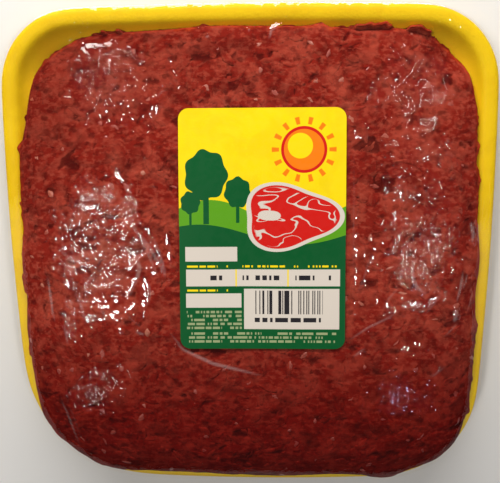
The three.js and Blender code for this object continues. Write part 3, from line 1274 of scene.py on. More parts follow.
@dataclass(frozen=True)
class LabelFinish(Finish):
    """Coated label paper with a plain farm-shop print: sun, hills, trees and a steak over a green data field.

    Attributes:
        yellow, deep_yellow: The printed ground's colours.
        green, leaf, white, red, orange, ink, grey: The inks' colours.
    """

    name: str = "printed_label"
    yellow: Colour = (0.90, 0.67, 0.003)
    deep_yellow: Colour = (0.80, 0.57, 0.003)
    green: Colour = (0.001, 0.088, 0.020)
    leaf: Colour = (0.10, 0.33, 0.010)
    white: Colour = (0.66, 0.60, 0.53)
    red: Colour = (0.60, 0.010, 0.006)
    orange: Colour = (0.86, 0.20, 0.004)
    ink: Colour = (0.018, 0.016, 0.020)
    grey: Colour = (0.30, 0.36, 0.18)

    def surface(self, tree: MaterialTree) -> bpy.types.Node:
        """Adds the nodes of the surface.

        Args:
            tree: The material's nodes.

        Returns:
            The shader.
        """
        shapes = PrintShapes()
        across, along, _ = tree.axes(tree.signal("UVMap", uv_map="UVMap"))
        seat = {"X": across / MM, "Y": along / MM}
        broad, fine = tree.patches(9 * MM)
        base = tree.mix(self.yellow, self.deep_yellow, broad.ramp(0.2, 1.0, 0, 0.5))
        for mask, colour in (*self._picture(tree, shapes, seat), *self._data_field(tree, shapes, seat)):
            base = tree.mix(base, colour, mask)
        return tree.node(
            "BsdfPrincipled",
            {
                "Base Color": base,
                "Roughness": fine.ramp(0.0, 1.0, 0.34, 0.46),
                "Specular IOR Level": 0.15,
                "Normal": tree.bump(tree.noise(tree.place, 0.5 * MM), 0.01 * MM),
            },
        )

    def _picture(self, tree: Tree, shapes: PrintShapes, seat: dict[str, Signal]) -> list[Layer]:
        """The picture over the data field.

        Args:
            tree: The material's nodes.
            shapes: The groups that mask a shape.
            seat: The place on the label, in mm.

        Returns:
            Masks and their colours, from the lowest layer up.
        """

        def blob(
            x: float, y: float, wide: float, high: float, lobes: float = 0, depth: float = 0, turn: float = 0
        ) -> tuple[Signal, ...]:
            """A blob's mask, and the distance in from its edge."""
            feeds = {"Centre X": x, "Centre Y": y, "Half Width": wide, "Half Height": high}
            return tree.effect(shapes.blob, {**seat, **feeds, "Lobes": lobes, "Lobe Depth": depth, "Turn": turn})

        sun = {"Centre X": 14.5, "Centre Y": 27.5, "Inner": 8.6, "Outer": 11.2, "Count": 14.0}
        layers = [(tree.effect(shapes.rays, {**seat, **sun})[0], self.orange)]
        for x, y, size, colour in (
            (14.5, 27.5, 8.0, self.red),
            (14.5, 27.5, 7.0, self.orange),
            (13.2, 28.8, 4.4, self.yellow),
        ):
            layers.append((blob(x, y, size, size)[0], colour))
        for base, rise, length, shift, colour in (
            (6.0, 4.5, 9.0, -18.0, self.leaf),
            (-1.5, 3.5, 11.0, -22.0, self.green),
        ):
            feeds = {"Base": base, "Rise": rise, "Length": length, "Shift": shift}
            layers.append((tree.effect(shapes.hill, {**seat, **feeds})[0], colour))
        for x, y, size in ((-19.5, 19.0, 7.4), (-8.5, 13.0, 4.6), (-25.0, 9.5, 3.4)):
            trunk = {"Left": x - 0.14 * size, "Right": x + 0.14 * size, "Low": y - 2.3 * size, "High": y}
            layers.append((tree.effect(shapes.box, {**seat, **trunk})[0], self.green))
            layers.append((blob(x, y, size, size * 1.15, 7, 0.06, x)[0], self.green))
        steak, inside = blob(9.5, 4.5, 17.0, 11.5, 3, 0.13, 0.5)
        grain = tree.joined(seat["X"], seat["Y"] * 1.8)
        vein = tree.signal("TexNoise", {"Vector": grain, "Scale": 0.11, "Detail": 0.0, "Distortion": 1.0}, "Fac")
        vein = (vein - 0.5).math("ABSOLUTE").ramp(0.018, 0.030, 1, 0) * inside.ramp(1.6, 2.4)
        bone = blob(2.5, 5.0, 3.4, 2.2, 2, 0.2, 0.9)[0]
        layers += [(steak, self.white), (inside.ramp(1.1, 1.3), self.red)]
        return [*layers, (vein, self.white), (bone, self.white)]

    def _data_field(self, tree: Tree, shapes: PrintShapes, seat: dict[str, Signal]) -> list[Layer]:
        """The green field with its boxes, bars and lines of strokes.

        Args:
            tree: The material's nodes.
            shapes: The groups that mask a shape.
            seat: The place on the label, in mm.

        Returns:
            Masks and their colours, from the lowest layer up.
        """
        names = shapes.box_inputs[2:]
        boxes = (
            (-28, 28, -40.7, -7.6, self.green),
            (-28, -8.0, -10, -4.3, self.green),
            (-27, -8.7, -11.0, -5.8, self.white),
            (-26.8, 27.2, -19.7, -13.7, self.white),
            (-9.5, -8.9, -19.7, -13.7, self.yellow),
            (8.7, 9.3, -19.7, -13.7, self.yellow),
            (-26.9, -7.3, -27.2, -22.1, self.white),
            (-6.5, 27, -34.8, -20.5, self.white),
        )
        texts = (
            (-3.5, 22, -32.8, -30.2, 2.6, 0.9, self.ink),
            (-22, -14, -18.1, -15.3, 2.8, 0.8, self.ink),
            (-7, 6, -18.1, -15.3, 2.8, 0.8, self.ink),
            (11.5, 24.5, -18.1, -15.3, 2.8, 0.8, self.ink),
            (-26.5, -12, -13.3, -12.1, 1.2, 0.55, self.yellow),
            (-7, 8, -13.3, -12.1, 1.2, 0.55, self.yellow),
            (11, 26, -13.3, -12.1, 1.2, 0.55, self.yellow),
            (-26.5, -12, -21.7, -20.5, 1.2, 0.55, self.yellow),
            (-26.7, -7.2, -35.0, -28.0, 1.4, 0.5, self.grey),
            (-26, 26, -39.8, -35.6, 1.4, 0.5, self.grey),
        )
        layers = [(tree.effect(shapes.box, {**seat, **dict(zip(names, box))})[0], box[-1]) for box in boxes]
        bars = {**dict(zip(names, (-2.6, 21.2, -29.5, -21.1))), "Module": 0.35}
        layers.append((tree.effect(shapes.bars, {**seat, **bars})[0], self.ink))
        for *sizes, colour in texts:
            feeds = dict(zip((*names, "Pitch", "Stroke"), sizes))
            layers.append((tree.effect(shapes.text, {**seat, **feeds})[0], colour))
        return layers


@dataclass(frozen=True)
class FloorFinish(Finish):
    """A plain pale studio floor with a faint grain.

    Attributes:
        pale, dim: The floor's colours.
    """

    name: str = "studio_floor"
    pale: Colour = (0.80, 0.80, 0.79)
    dim: Colour = (0.76, 0.76, 0.75)

    def surface(self, tree: MaterialTree) -> bpy.types.Node:
        """Adds the nodes of the surface.

        Args:
            tree: The material's nodes.

        Returns:
            The shader.
        """
        broad, fine = tree.patches(0.2)
        base = tree.mix(self.pale, self.dim, broad)
        return tree.node("BsdfPrincipled", {"Base Color": base, "Roughness": fine.ramp(0.0, 1.0, 0.7, 0.8)})


# Pieces


@dataclass
class FoamTray:
    """The foam tray, which is the CAD solid with its edges rounded.

    Attributes:
        shape: The forms that the pieces share.
        smoothness: Levels of subdivision.
        slices: How many slices round the tray its lip is measured in.
        spread: How many slices to each side share the least gap.
        most_gap: The most that the lip is drawn out.
        lip_zone, top_zone: How far in from the outline and down from the top it is drawn, where that starts
            and where it is full.
    """

    shape: PackShape
    smoothness: int = 2
    slices: int = 180
    spread: int = 5
    most_gap: float = 2 * MM
    lip_zone: tuple[float, float] = (6 * MM, 2 * MM)
    top_zone: tuple[float, float] = (3 * MM, 1 * MM)

    def build(self, finish: bpy.types.Material) -> list[bpy.types.Object]:
        """Copies the CAD tray, merges its loose triangles and rounds it.

        Args:
            finish: The foam.

        Returns:
            The tray, alone.
        """
        piece = new_piece("foam_tray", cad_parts["tray"].data.copy())
        bpy.ops.object.mode_set(mode="EDIT")
        bpy.ops.mesh.select_all(action="SELECT")
        bpy.ops.mesh.remove_doubles(threshold=0.01 * MM)
        bpy.ops.mesh.tris_convert_to_quads(face_threshold=math.radians(60), shape_threshold=math.radians(60))
        bpy.ops.object.mode_set(mode="OBJECT")
        apply_modifier(piece, "SUBSURF", levels=self.smoothness, render_levels=self.smoothness)
        self._fit(piece.data)
        select_only(piece)
        bpy.ops.object.shade_smooth()
        piece.data.materials.clear()
        piece.data.materials.append(finish)
        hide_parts("tray")
        return [piece]

    def _fit(self, mesh: bpy.types.Mesh) -> None:
        """Draws the rounded lip back out to the rim's outline and up to its height.

        Args:
            mesh: The tray's mesh.
        """
        points, count, top = read_points(mesh), self.slices, self.shape.rim_top
        angle, out = np.arctan2(points[:, 1], points[:, 0]), np.hypot(points[:, 0], points[:, 1])
        inside = self.shape.rim.radius(angle, 0) - out
        cell = np.mod(np.round(np.mod(angle, TURN) / TURN * count).astype(int), count)
        least = np.full(count, self.most_gap)
        np.minimum.at(least, cell, np.maximum(inside, 0))
        least = np.min([np.roll(least, n) for n in range(-self.spread, self.spread + 1)], axis=0)
        least = rounded_off(least[:, None], 4 * self.spread, 0)[:, 0]
        gap = np.interp(np.mod(angle, TURN), np.arange(count) * TURN / count, least, period=TURN)
        outward = eased(-inside, -self.lip_zone[0], -self.lip_zone[1])
        upward = eased(points[:, 2] - top, -self.top_zone[0], -self.top_zone[1])
        points[:, :2] *= (1 + gap * outward / np.maximum(out, MM))[:, None]
        points[:, 2] += (top - points[:, 2].max()) * upward
        write_points(mesh, points)


@dataclass(frozen=True)
class Bits:
    """One kind of small bit on the meat.

    Attributes:
        name: The piece's name.
        count: How many bits there are.
        lengths, widths, heights: Least and greatest size, in mm.
        bend: Greatest bend, as a share of the length.
        seed: Picks the draw.
    """

    name: str
    count: int
    lengths: tuple[float, float]
    widths: tuple[float, float]
    heights: tuple[float, float]
    bend: float
    seed: int


@dataclass
class Mince:
    """The heap of minced meat: a core with relief, and loose shreds and flecks on it.

    Attributes:
        shape: The forms that the pieces share.
        top_rings: How many rings of points the core's top has.
        crowding: How much closer the rings lie near the edge than near the middle, as a power.
        under_shares: The underside's rings, as shares of the way out.
        ragged, ragged_size: How far the edge goes out and in, and the size of its lobes.
        over_tray: Share of the way out from which the meat lies on the tray.
        edge_glow_fade: How far in from the edge its painted edge glow starts to fade, and how far in it is gone.
        pit_fade: How far in from the edge the painted shade in the pits is full.
        pit_depth, lump_depth, roll_depth, grain_depth: Depth of each kind of relief.
        lump_size, roll_size, pit_size, grain_size: Size of each.
        pitted: Where a pit starts and where it is full, in its noise.
        sunk: How far the meat may sink into the tray, where nothing shows it.
        bits_reach: How far out the bits lie, as a share.
        bits_sunk: Least and greatest share of a bit's height that lies in the core.
        inside_edge: How far inside the edge the bits stay.
        bit_gap: How far under the film they stay.
        shreds, flecks: The two kinds of bits.
    """

    shape: PackShape
    top_rings: int = 130
    crowding: float = 1.12
    under_shares: tuple[float, ...] = (0.985, 0.96, 0.93, 0.9, 0.87, 0.84, 0.8, 0.7, 0.5)
    ragged: float = 2.4 * MM
    ragged_size: float = 5 * MM
    over_tray: float = 0.85
    edge_glow_fade: tuple[float, float] = (0.3 * MM, 2.6 * MM)
    pit_fade: float = 4 * MM
    pit_depth: float = 0.55 * MM
    lump_depth: float = 0.7 * MM
    roll_depth: float = 0.3 * MM
    grain_depth: float = 0.3 * MM
    lump_size: float = 9 * MM
    roll_size: float = 5.2 * MM
    pit_size: float = 3.6 * MM
    grain_size: float = 2.6 * MM
    pitted: tuple[float, float] = (0.62, 0.82)
    sunk: float = 0.8 * MM
    bits_reach: float = 0.985
    bits_sunk: tuple[float, float] = (0.1, 0.4)
    inside_edge: float = 1.2 * MM
    bit_gap: float = 0.1 * MM
    shreds: Bits = Bits("meat_shreds", 950, (3.0, 8.5), (1.6, 3.2), (0.3, 0.65), 0.14, 5)
    flecks: Bits = Bits("fat_flecks", 150, (1.0, 4.0), (0.8, 2.4), (0.3, 0.6), 0.1, 9)

    def radius(self, angle: np.ndarray) -> np.ndarray:
        """How far out the meat comes, with its ragged edge.

        Args:
            angle: Any angles.

        Returns:
            The distance at each.
        """
        base = self.shape.meat.radius(angle)
        x, y = base * np.cos(angle), base * np.sin(angle)
        ragged = self.ragged * (layered(x, y, self.ragged_size, 41, 3) - 0.5) * 2
        limit = self.shape.film.radius(angle) - self.shape.meat_inside_film
        return np.minimum(base + ragged, limit)

    def pits(self, x: np.ndarray, y: np.ndarray) -> np.ndarray:
        """Where the meat is pitted.

        Args:
            x, y: The places.

        Returns:
            1 in a pit and 0 elsewhere.
        """
        warp = 5 * MM * (bumps(x, y, 5 * MM, 61) - 0.5)
        u, v = 0.6 * (x + 0.45 * y), y - 0.45 * x
        deep = layered(u + warp, v - warp, self.pit_size, 63, 3)
        return eased(deep, *self.pitted)

    def valleys(self, x: np.ndarray, y: np.ndarray) -> np.ndarray:
        """How deep places lie between the meat's rolls, from 0 to 1."""
        return 1 - worms(0.7 * x, y, self.roll_size, 71)

    def relief(self, x: np.ndarray, y: np.ndarray) -> np.ndarray:
        """How far the meat lies below its smooth form.

        Args:
            x, y: The places.

        Returns:
            The depth at each.
        """
        lumps = layered(0.8 * x, y, self.lump_size, 73, 2)
        grain = layered(x, y, self.grain_size, 75, 2)
        low = self.pit_depth * self.pits(x, y) + self.roll_depth * self.valleys(x, y)
        return low + self.lump_depth * lumps + self.grain_depth * grain

    def surface(self, x: np.ndarray, y: np.ndarray) -> np.ndarray:
        """Height of the meat's top."""
        return self.shape.meat.height(x, y) - self.relief(x, y)

    def build(self, lean: bpy.types.Material, fat: bpy.types.Material) -> list[bpy.types.Object]:
        """Makes the core, the shreds and the flecks.

        Args:
            lean: The meat.
            fat: The fat.

        Returns:
            The three pieces.
        """
        core = self._core()
        pieces = [core, self._bits(self.shreds), self._bits(self.flecks)]
        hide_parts("mince")
        for piece, finish in zip(pieces, (lean, lean, fat)):
            piece.data.materials.append(finish)
        return pieces

    def _core(self) -> bpy.types.Object:
        """The closed core, whose underside follows the CAD solid's inside the tray.

        Returns:
            The core.
        """
        sheet = RingedSheet.make("mince_core", self.top_rings + len(self.under_shares))
        edge = self.radius(sheet.angle)
        share = 1 - (1 - np.minimum(sheet.ring / self.top_rings, 1.0)) ** self.crowding
        under = (sheet.ring - self.top_rings).astype(int)
        lower = under > 0
        share = np.where(lower, np.array((1.0, *self.under_shares))[np.maximum(under, 0)], share)
        x, y = edge * share * np.cos(sheet.angle), edge * share * np.sin(sheet.angle)
        fade = 1 - 0.6 * eased(share, 0.97, 1.0) * ~lower
        z = self.shape.meat.height(x, y) - self.relief(x, y) * fade
        floor = Solid("mince").height(x[lower], y[lower], from_below=True)
        z[lower] = np.where(np.isnan(floor), self.shape.rim_top + 0.5 * MM, floor)
        near = (share > self.over_tray) & ~lower
        z[near] = np.fmax(z[near], Solid("tray").height(x[near], y[near]) - self.sunk)
        sheet.lay(np.stack([x, y, z], 1))
        gap = edge * (1 - np.minimum(share, 1))
        # Painted shade in the pits and the valleys between rolls, faded out near the edge
        pitted = np.clip(self.pits(x, y) + 0.2 * self.valleys(x, y), 0, 1)
        # Where the edge's painted glow lies: full at the edge, gone further in
        write_values(sheet.piece.data, "edge", 1 - eased(gap, *self.edge_glow_fade))
        write_values(sheet.piece.data, "pit", pitted * eased(gap, 0, self.pit_fade))
        write_values(sheet.piece.data, "tone", np.zeros(x.size))
        close_rim(sheet.piece, 0.6)
        return sheet.piece

    def _bits(self, kind: Bits) -> bpy.types.Object:
        """Scatters small bits over the core.

        Args:
            kind: The bits.

        Returns:
            The bits, as one object.
        """
        count, draw = kind.count, np.random.default_rng(kind.seed)
        turn = np.arange(count) * GOLDEN_ANGLE + draw.normal(0, 0.15, count)
        share = np.sqrt((np.arange(count) + 0.5) / count) * self.bits_reach
        share = np.clip(share + draw.normal(0, 0.012, count), 0, self.bits_reach)
        ranges = (kind.lengths, kind.widths, kind.heights)
        sizes = np.stack([draw.uniform(low, high, count) * MM for low, high in ranges], 1)
        out = share * (self.radius(turn) - 0.5 * sizes[:, 0] - self.inside_edge)
        spots = np.stack([out * np.cos(turn), out * np.sin(turn)], 1)
        sink = draw.uniform(*self.bits_sunk, count)
        tray = Solid("tray")

        def lay(x: np.ndarray, y: np.ndarray, height: np.ndarray, which: np.ndarray) -> np.ndarray:
            """Lays points on the core, partly sunk, under the film and over the tray.

            Args:
                x, y: The points' places.
                height: Their heights in their bits.
                which: Their bits' numbers.

            Returns:
                Their heights.
            """
            lifted = self.surface(x, y) + height - sink[which] * sizes[which, 2]
            held = np.minimum(lifted, self.shape.film.height(x, y) - self.bit_gap + 0.05 * height)
            return np.fmax(held, tray.height(x, y) - self.sunk)

        bpy.ops.object.select_all(action="DESELECT")
        bpy.ops.mesh.primitive_ico_sphere_add(subdivisions=2, radius=0.5)
        unit = bpy.context.object
        rough = read_points(unit.data)
        wobble = 1 + 0.25 * (np.sin(rough[:, 0] * 9 + 1) * np.cos(rough[:, 1] * 7 + 2))
        write_points(unit.data, rough * wobble[:, None])
        turns, bends = draw.uniform(0, math.pi, count), draw.uniform(-kind.bend, kind.bend, count)
        piece, which = scatter(kind.name, unit, spots, turns, sizes, bends, lay)
        tone = draw.beta(1.6, 2.2, count)
        write_values(piece.data, "tone", tone[which])
        for name in ("pit", "edge"):
            write_values(piece.data, name, np.zeros(which.size))
        return piece


@dataclass(frozen=True)
class Crease:
    """A raised crease in the film.

    Attributes:
        line: Places along it, in mm.
        width: Its width, in mm.
        height: Its height, in mm.
    """

    line: tuple[tuple[float, float], ...]
    width: float
    height: float

    def raise_at(self, x: np.ndarray, y: np.ndarray) -> np.ndarray:
        """How far it raises places. It tapers off at both ends.

        Args:
            x, y: The places, in mm.

        Returns:
            The rise at each, in mm.
        """
        points = np.array(self.line)
        steps = np.linalg.norm(np.diff(points, axis=0), axis=1)
        before = np.concatenate([[0], np.cumsum(steps)])
        raised = np.zeros_like(x)
        reach = 2.5 * self.width
        for n, length in enumerate(steps):
            (ax, ay), (bx, by) = points[n], points[n + 1]
            near_x = (x > min(ax, bx) - reach) & (x < max(ax, bx) + reach)
            near = np.flatnonzero(near_x & (y > min(ay, by) - reach) & (y < max(ay, by) + reach))
            wx, wy = x[near] - ax, y[near] - ay
            along = np.clip((wx * (bx - ax) + wy * (by - ay)) / length**2, 0, 1)
            gap = np.hypot(wx - along * (bx - ax), wy - along * (by - ay))
            travelled = (before[n] + along * length) / before[-1]
            taper = np.clip(np.sin(np.clip(travelled, 0, 1) * math.pi), 0, 1) ** 0.5
            lift = np.exp(-((gap / (0.5 * self.width)) ** 2)) * taper
            raised[near] = np.maximum(raised[near], lift)
        return self.height * raised


@dataclass(frozen=True)
class Crinkle:
    """An oval patch of finely crinkled film.

    Attributes:
        x, y: Its middle, in mm.
        width, length: Its size, in mm.
        turn: How far it is turned, in degrees.
        strength: How strong the crinkle is in its middle, from 0 to 1.
    """

    x: float
    y: float
    width: float
    length: float
    turn: float
    strength: float

    def mask(self, x: np.ndarray, y: np.ndarray) -> np.ndarray:
        """How strong the crinkle is.

        Args:
            x, y: Places, in mm.

        Returns:
            The strength at each, from 0 to 1.
        """
        turn = math.radians(self.turn)
        across = (x - self.x) * math.cos(turn) + (y - self.y) * math.sin(turn)
        along = (y - self.y) * math.cos(turn) - (x - self.x) * math.sin(turn)
        away = np.hypot(across / (self.width / 2), along / (self.length / 2))
        uneven = 0.45 * (bumps(x, y, 5.0, 91) - 0.5)
        return self.strength * (1 - eased(away + uneven, 0.6, 1.15))


CREASES = (
    # Left of the label
    Crease(((-47.5, 24), (-44.5, 21.5), (-41.5, 17.5), (-38.5, 12.5), (-35.5, 6.5), (-32, -1.5), (-30, -6)), 1.5, 0.5),
    Crease(((-40, 14.5), (-36, 10), (-32, 3.5), (-29.5, -1.5), (-28.5, -5)), 1.6, 0.5),
    Crease(((-33.5, 12.5), (-31.5, 7), (-29.5, 1), (-28.5, -4)), 1.5, 0.5),
    Crease(((-28, 14), (-27, 6.5), (-27, 0), (-26, -4)), 1.3, 0.35),
    Crease(((-41, 8), (-39, 4.5), (-38, 0), (-39, -3), (-41, -7), (-42.5, -11.5)), 1.8, 0.55),
    Crease(((-37, -1.5), (-35, -6), (-34.5, -8.5), (-35.5, -12), (-36, -14.5)), 1.6, 0.5),
    Crease(((-68, 8), (-65.5, 5), (-63, 3)), 1.5, 0.45),
    Crease(((-66.5, 8.5), (-64.5, 6)), 1.3, 0.4),
    Crease(((-63.5, 9), (-61.5, 3.5)), 1.4, 0.45),
    Crease(((-72.5, -1.5), (-71.5, -8.5), (-70.5, -17), (-69, -21.5)), 1.5, 0.5),
    Crease(((-66.5, -3.5), (-64.5, -8)), 1.4, 0.4),
    Crease(((-62, -8), (-59.5, -13.5), (-58, -19.5), (-57.5, -21.5)), 1.6, 0.5),
    Crease(((-66.5, -19), (-64.5, -29)), 1.5, 0.45),
    Crease(((-53.5, -12), (-51, -16.5), (-48.5, -19)), 1.5, 0.5),
    Crease(((-60.5, -3.5), (-55.5, -3.5), (-51, -6.5)), 1.4, 0.45),
    Crease(((-46, -21.5), (-43.5, -23.5)), 1.4, 0.4),
    Crease(((-40.5, -22), (-36, -23.5)), 1.5, 0.45),
    Crease(((-47, -11), (-41.5, -17.5), (-35, -23)), 1.3, 0.35),
    Crease(((-49, 21.5), (-46.5, 19)), 1.4, 0.4),
    Crease(((-45.5, 17), (-43, 14.5)), 1.4, 0.4),
    Crease(((-70, -44.5), (-66, -56), (-62.5, -70)), 1.5, 0.4),
    Crease(((-68, -44), (-64, -55.5), (-61, -69)), 1.3, 0.3),
    Crease(((-29, -20.5), (-23, -28.5), (-12.5, -33.5), (1.5, -37), (8, -38.5)), 1.8, 0.5),
    # Right of it
    Crease(((60.5, 4), (58, 2), (57.5, -1), (58, -4), (59.5, -7), (62.5, -9), (62, -7.5)), 1.8, 0.6),
    Crease(((78.5, 16), (80, 11), (79.5, 7)), 1.8, 0.6),
    Crease(((82, 15.5), (82.5, 6)), 1.4, 0.5),
    Crease(((76.5, -1), (75.5, -8), (74, -14)), 1.5, 0.5),
    Crease(((78.5, -1.5), (76.5, -9.5)), 1.3, 0.4),
    Crease(((74.5, -15), (73.5, -20.5)), 2.0, 0.6),
    Crease(((69, -26), (76, -19.5)), 1.3, 0.35),
    Crease(((33.5, -26.5), (42.5, -20.5), (49, -17.5), (56, -13)), 1.5, 0.4),
    Crease(((36.5, -31.5), (42, -27.5)), 1.4, 0.4),
    Crease(((37, -12), (40.5, -4), (44, 8.5)), 1.4, 0.35),
    Crease(((46, -17), (49.5, -10.5), (54.5, -5)), 1.4, 0.35),
    Crease(((36.5, 54.5), (37, 24), (37, -11), (36.5, -21.5)), 1.5, 0.3),
    Crease(((61.5, -17.5), (67.5, -10.5), (68.5, -6.5)), 1.4, 0.4),
    Crease(((60.5, 12), (64.5, 8.5)), 1.4, 0.4),
    Crease(((78.5, -6), (80.5, -10.5), (78.5, -18.5)), 1.4, 0.4),
    Crease(((63.5, -40.5), (72, -35)), 1.3, 0.35),
    # Past its top edge
    Crease(((-32, 58), (-29.5, 61), (-26.5, 62)), 1.4, 0.35),
    Crease(((7.5, 77.5), (8.5, 81.5), (11.5, 83)), 1.5, 0.45),
    Crease(((-14.5, 79), (-12.5, 80)), 1.4, 0.45),
    Crease(((0, 81), (1.5, 82)), 1.4, 0.45),
)
CRINKLES = (
    # Broad and weak patches, then small and strong ones, then corners
    Crinkle(-54, 8, 42, 60, -20, 0.65),
    Crinkle(64, 6, 34, 48, 0, 0.65),
    Crinkle(-48, 66, 36, 26, 0, 0.65),
    Crinkle(58, 63, 32, 30, 0, 0.55),
    Crinkle(62, 36, 34, 40, 0, 0.5),
    Crinkle(-52, 7, 11, 17, -35, 1.0),
    Crinkle(-45, -4, 9, 12, -35, 0.8),
    Crinkle(-69, 19, 4, 7, 10, 0.9),
    Crinkle(-62, 20.5, 6, 9, 0, 0.9),
    Crinkle(-54, 18, 9, 6, 20, 0.7),
    Crinkle(-64, -17, 10, 22, 8, 0.9),
    Crinkle(70, 5.5, 10, 8, 20, 1.0),
    Crinkle(68, -2, 9, 11, -25, 1.0),
    Crinkle(66, 14, 14, 8, 0, 0.5),
    Crinkle(80, 11, 4, 12, 0, 0.8),
    Crinkle(74, -17, 5, 10, 10, 0.7),
    Crinkle(-39, 68, 26, 14, 20, 0.35),
    Crinkle(57, 64, 26, 18, -20, 0.35),
    Crinkle(60, -42, 34, 36, 0, 0.35),
    Crinkle(-56, -48, 36, 30, 0, 0.4),
)


@dataclass
class StretchFilm:
    """The clear film: over the heap, round the lip, down to the base and closed under it.

    Attributes:
        shape: The forms that the pieces share.
        rings: How many rings of points the film has.
        top_rings: How many of them lie on top.
        lip: How far the film stands off the rim.
        base_height: Its height under the base.
        wall_foot, base_inset: How far inside the rim the wall's foot and the base's edge lie.
        lip_drops: How far below the rim the film lies at the lip and below it.
        foot_rise: How far over the film's own height under the base the wall's foot lies.
        girth: The radius that the pleats are measured out on.
        rim_zone: Shares of the way out over which the creases fade out.
        stations: Ring where the film gets to the top's edge, the lip, below the lip, the wall's foot, the
            base's edge and the last opening, counted from the top's edge.
        swell, swell_size: Depth and size of its soft unevenness on top.
        pleat, pleat_size: Depth and size of the pleats down the side.
        fold, fold_size: Depth and size of the folds under the base.
        opening_share: The last opening's size over the base's.
    """

    shape: PackShape
    rings: int = 156
    top_rings: int = 122
    lip: float = 0.2 * MM
    base_height: float = 0.2 * MM
    wall_foot: float = 17.2 * MM
    base_inset: float = 22.5 * MM
    lip_drops: tuple[float, float] = (1.5 * MM, 4.8 * MM)
    foot_rise: float = 0.9 * MM
    girth: float = 90 * MM
    rim_zone: tuple[float, float] = (0.93, 0.99)
    stations: tuple[float, ...] = (0.0, 3.0, 6.0, 20.0, 24.0, 34.0)
    swell: float = 0.3 * MM
    swell_size: float = 9 * MM
    pleat: float = 1.0 * MM
    pleat_size: float = 5 * MM
    fold: float = 0.25 * MM
    fold_size: float = 6 * MM
    opening_share: float = 0.16

    def build(self, finish: bpy.types.Material) -> list[bpy.types.Object]:
        """Makes the film as one closed bag.

        Args:
            finish: The film's finish.

        Returns:
            The bag, alone.
        """
        sheet = RingedSheet.make("film_wrap", self.rings)
        share = np.minimum(sheet.ring / self.top_rings, 1.0)
        edge = self.shape.film.radius(sheet.angle)
        x, y = edge * share * np.cos(sheet.angle), edge * share * np.sin(sheet.angle)
        raised = np.max([crease.raise_at(x / MM, y / MM) for crease in CREASES], axis=0)
        crinkled = np.max([patch.mask(x / MM, y / MM) for patch in CRINKLES], axis=0)
        uneven = self.swell * (bumps(x, y, self.swell_size, 95) - 0.5) - 0.5 * self.swell
        z = self.shape.film.height(x, y) + (raised * MM * 0.5 + uneven) * (1 - eased(share, *self.rim_zone))
        under = sheet.ring - self.top_rings
        sheet.lay(self._skirt(sheet.angle, under, x, y, z))
        wrap, down = sheet.piece, under > 0
        write_values(wrap.data, "crinkle", np.clip(np.where(down, eased(under, 2, 8) * 0.5, crinkled), 0, 1))
        write_values(wrap.data, "fold", np.where(down, 0, np.clip(raised / 0.5, 0, 1)))
        close_rim(wrap, 0.4)
        wrap.data.materials.append(finish)
        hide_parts("film")
        return [wrap]

    def _skirt(
        self, angle: np.ndarray, under: np.ndarray, x: np.ndarray, y: np.ndarray, z: np.ndarray
    ) -> np.ndarray:
        """Lays the outer rings round the lip, down the side and under the base.

        Args:
            angle: Each point's angle.
            under: Each point's ring, counted from the top's edge.
            x, y, z: Places of the points of the top.

        Returns:
            Places of all points, as rows.
        """
        shape, at, low = self.shape, self.stations, self.base_height
        edge = shape.film.radius(angle)
        edge_height = shape.film.height(edge * np.cos(angle), edge * np.sin(angle))
        insets = (-self.lip, self.wall_foot, self.base_inset)
        lip, foot, base = (shape.rim.radius(angle, inset) for inset in insets)
        radii = (edge, lip, lip, foot, base, base * self.opening_share)
        at_lip, below_lip = (shape.rim_top - drop for drop in self.lip_drops)
        heights = [edge_height, np.minimum(edge_height, at_lip)]
        heights += [np.full_like(edge, level) for level in (below_lip, low + self.foot_rise, low, low)]
        radius, height = edge.copy(), z.copy()
        for n in range(len(at) - 1):
            here = (under > at[n]) & (under <= at[n + 1])
            part = ((under - at[n]) / (at[n + 1] - at[n]))[here]
            radius[here] = radii[n][here] * (1 - part) + radii[n + 1][here] * part
            height[here] = heights[n][here] * (1 - part) + heights[n + 1][here] * part
        # Pleats run down the side, deepest half way, where there is room behind the film
        pleats = layered(angle * self.girth, 0.3 * under * MM, self.pleat_size, 83, 2)
        depth = self.pleat * np.sin(np.clip((under - at[2]) / (at[3] - at[2]), 0, 1) * math.pi)
        radius = np.where((under > 0) & (under < at[3]), radius - depth * pleats, radius)
        folds = worms(radius * np.cos(angle), radius * np.sin(angle), self.fold_size, 87)
        height = height + self.fold * folds * (under > at[3] + 1)
        out = under > 0
        x, y = np.where(out, radius * np.cos(angle), x), np.where(out, radius * np.sin(angle), y)
        return np.stack([x, y, np.where(out, height, z)], 1)


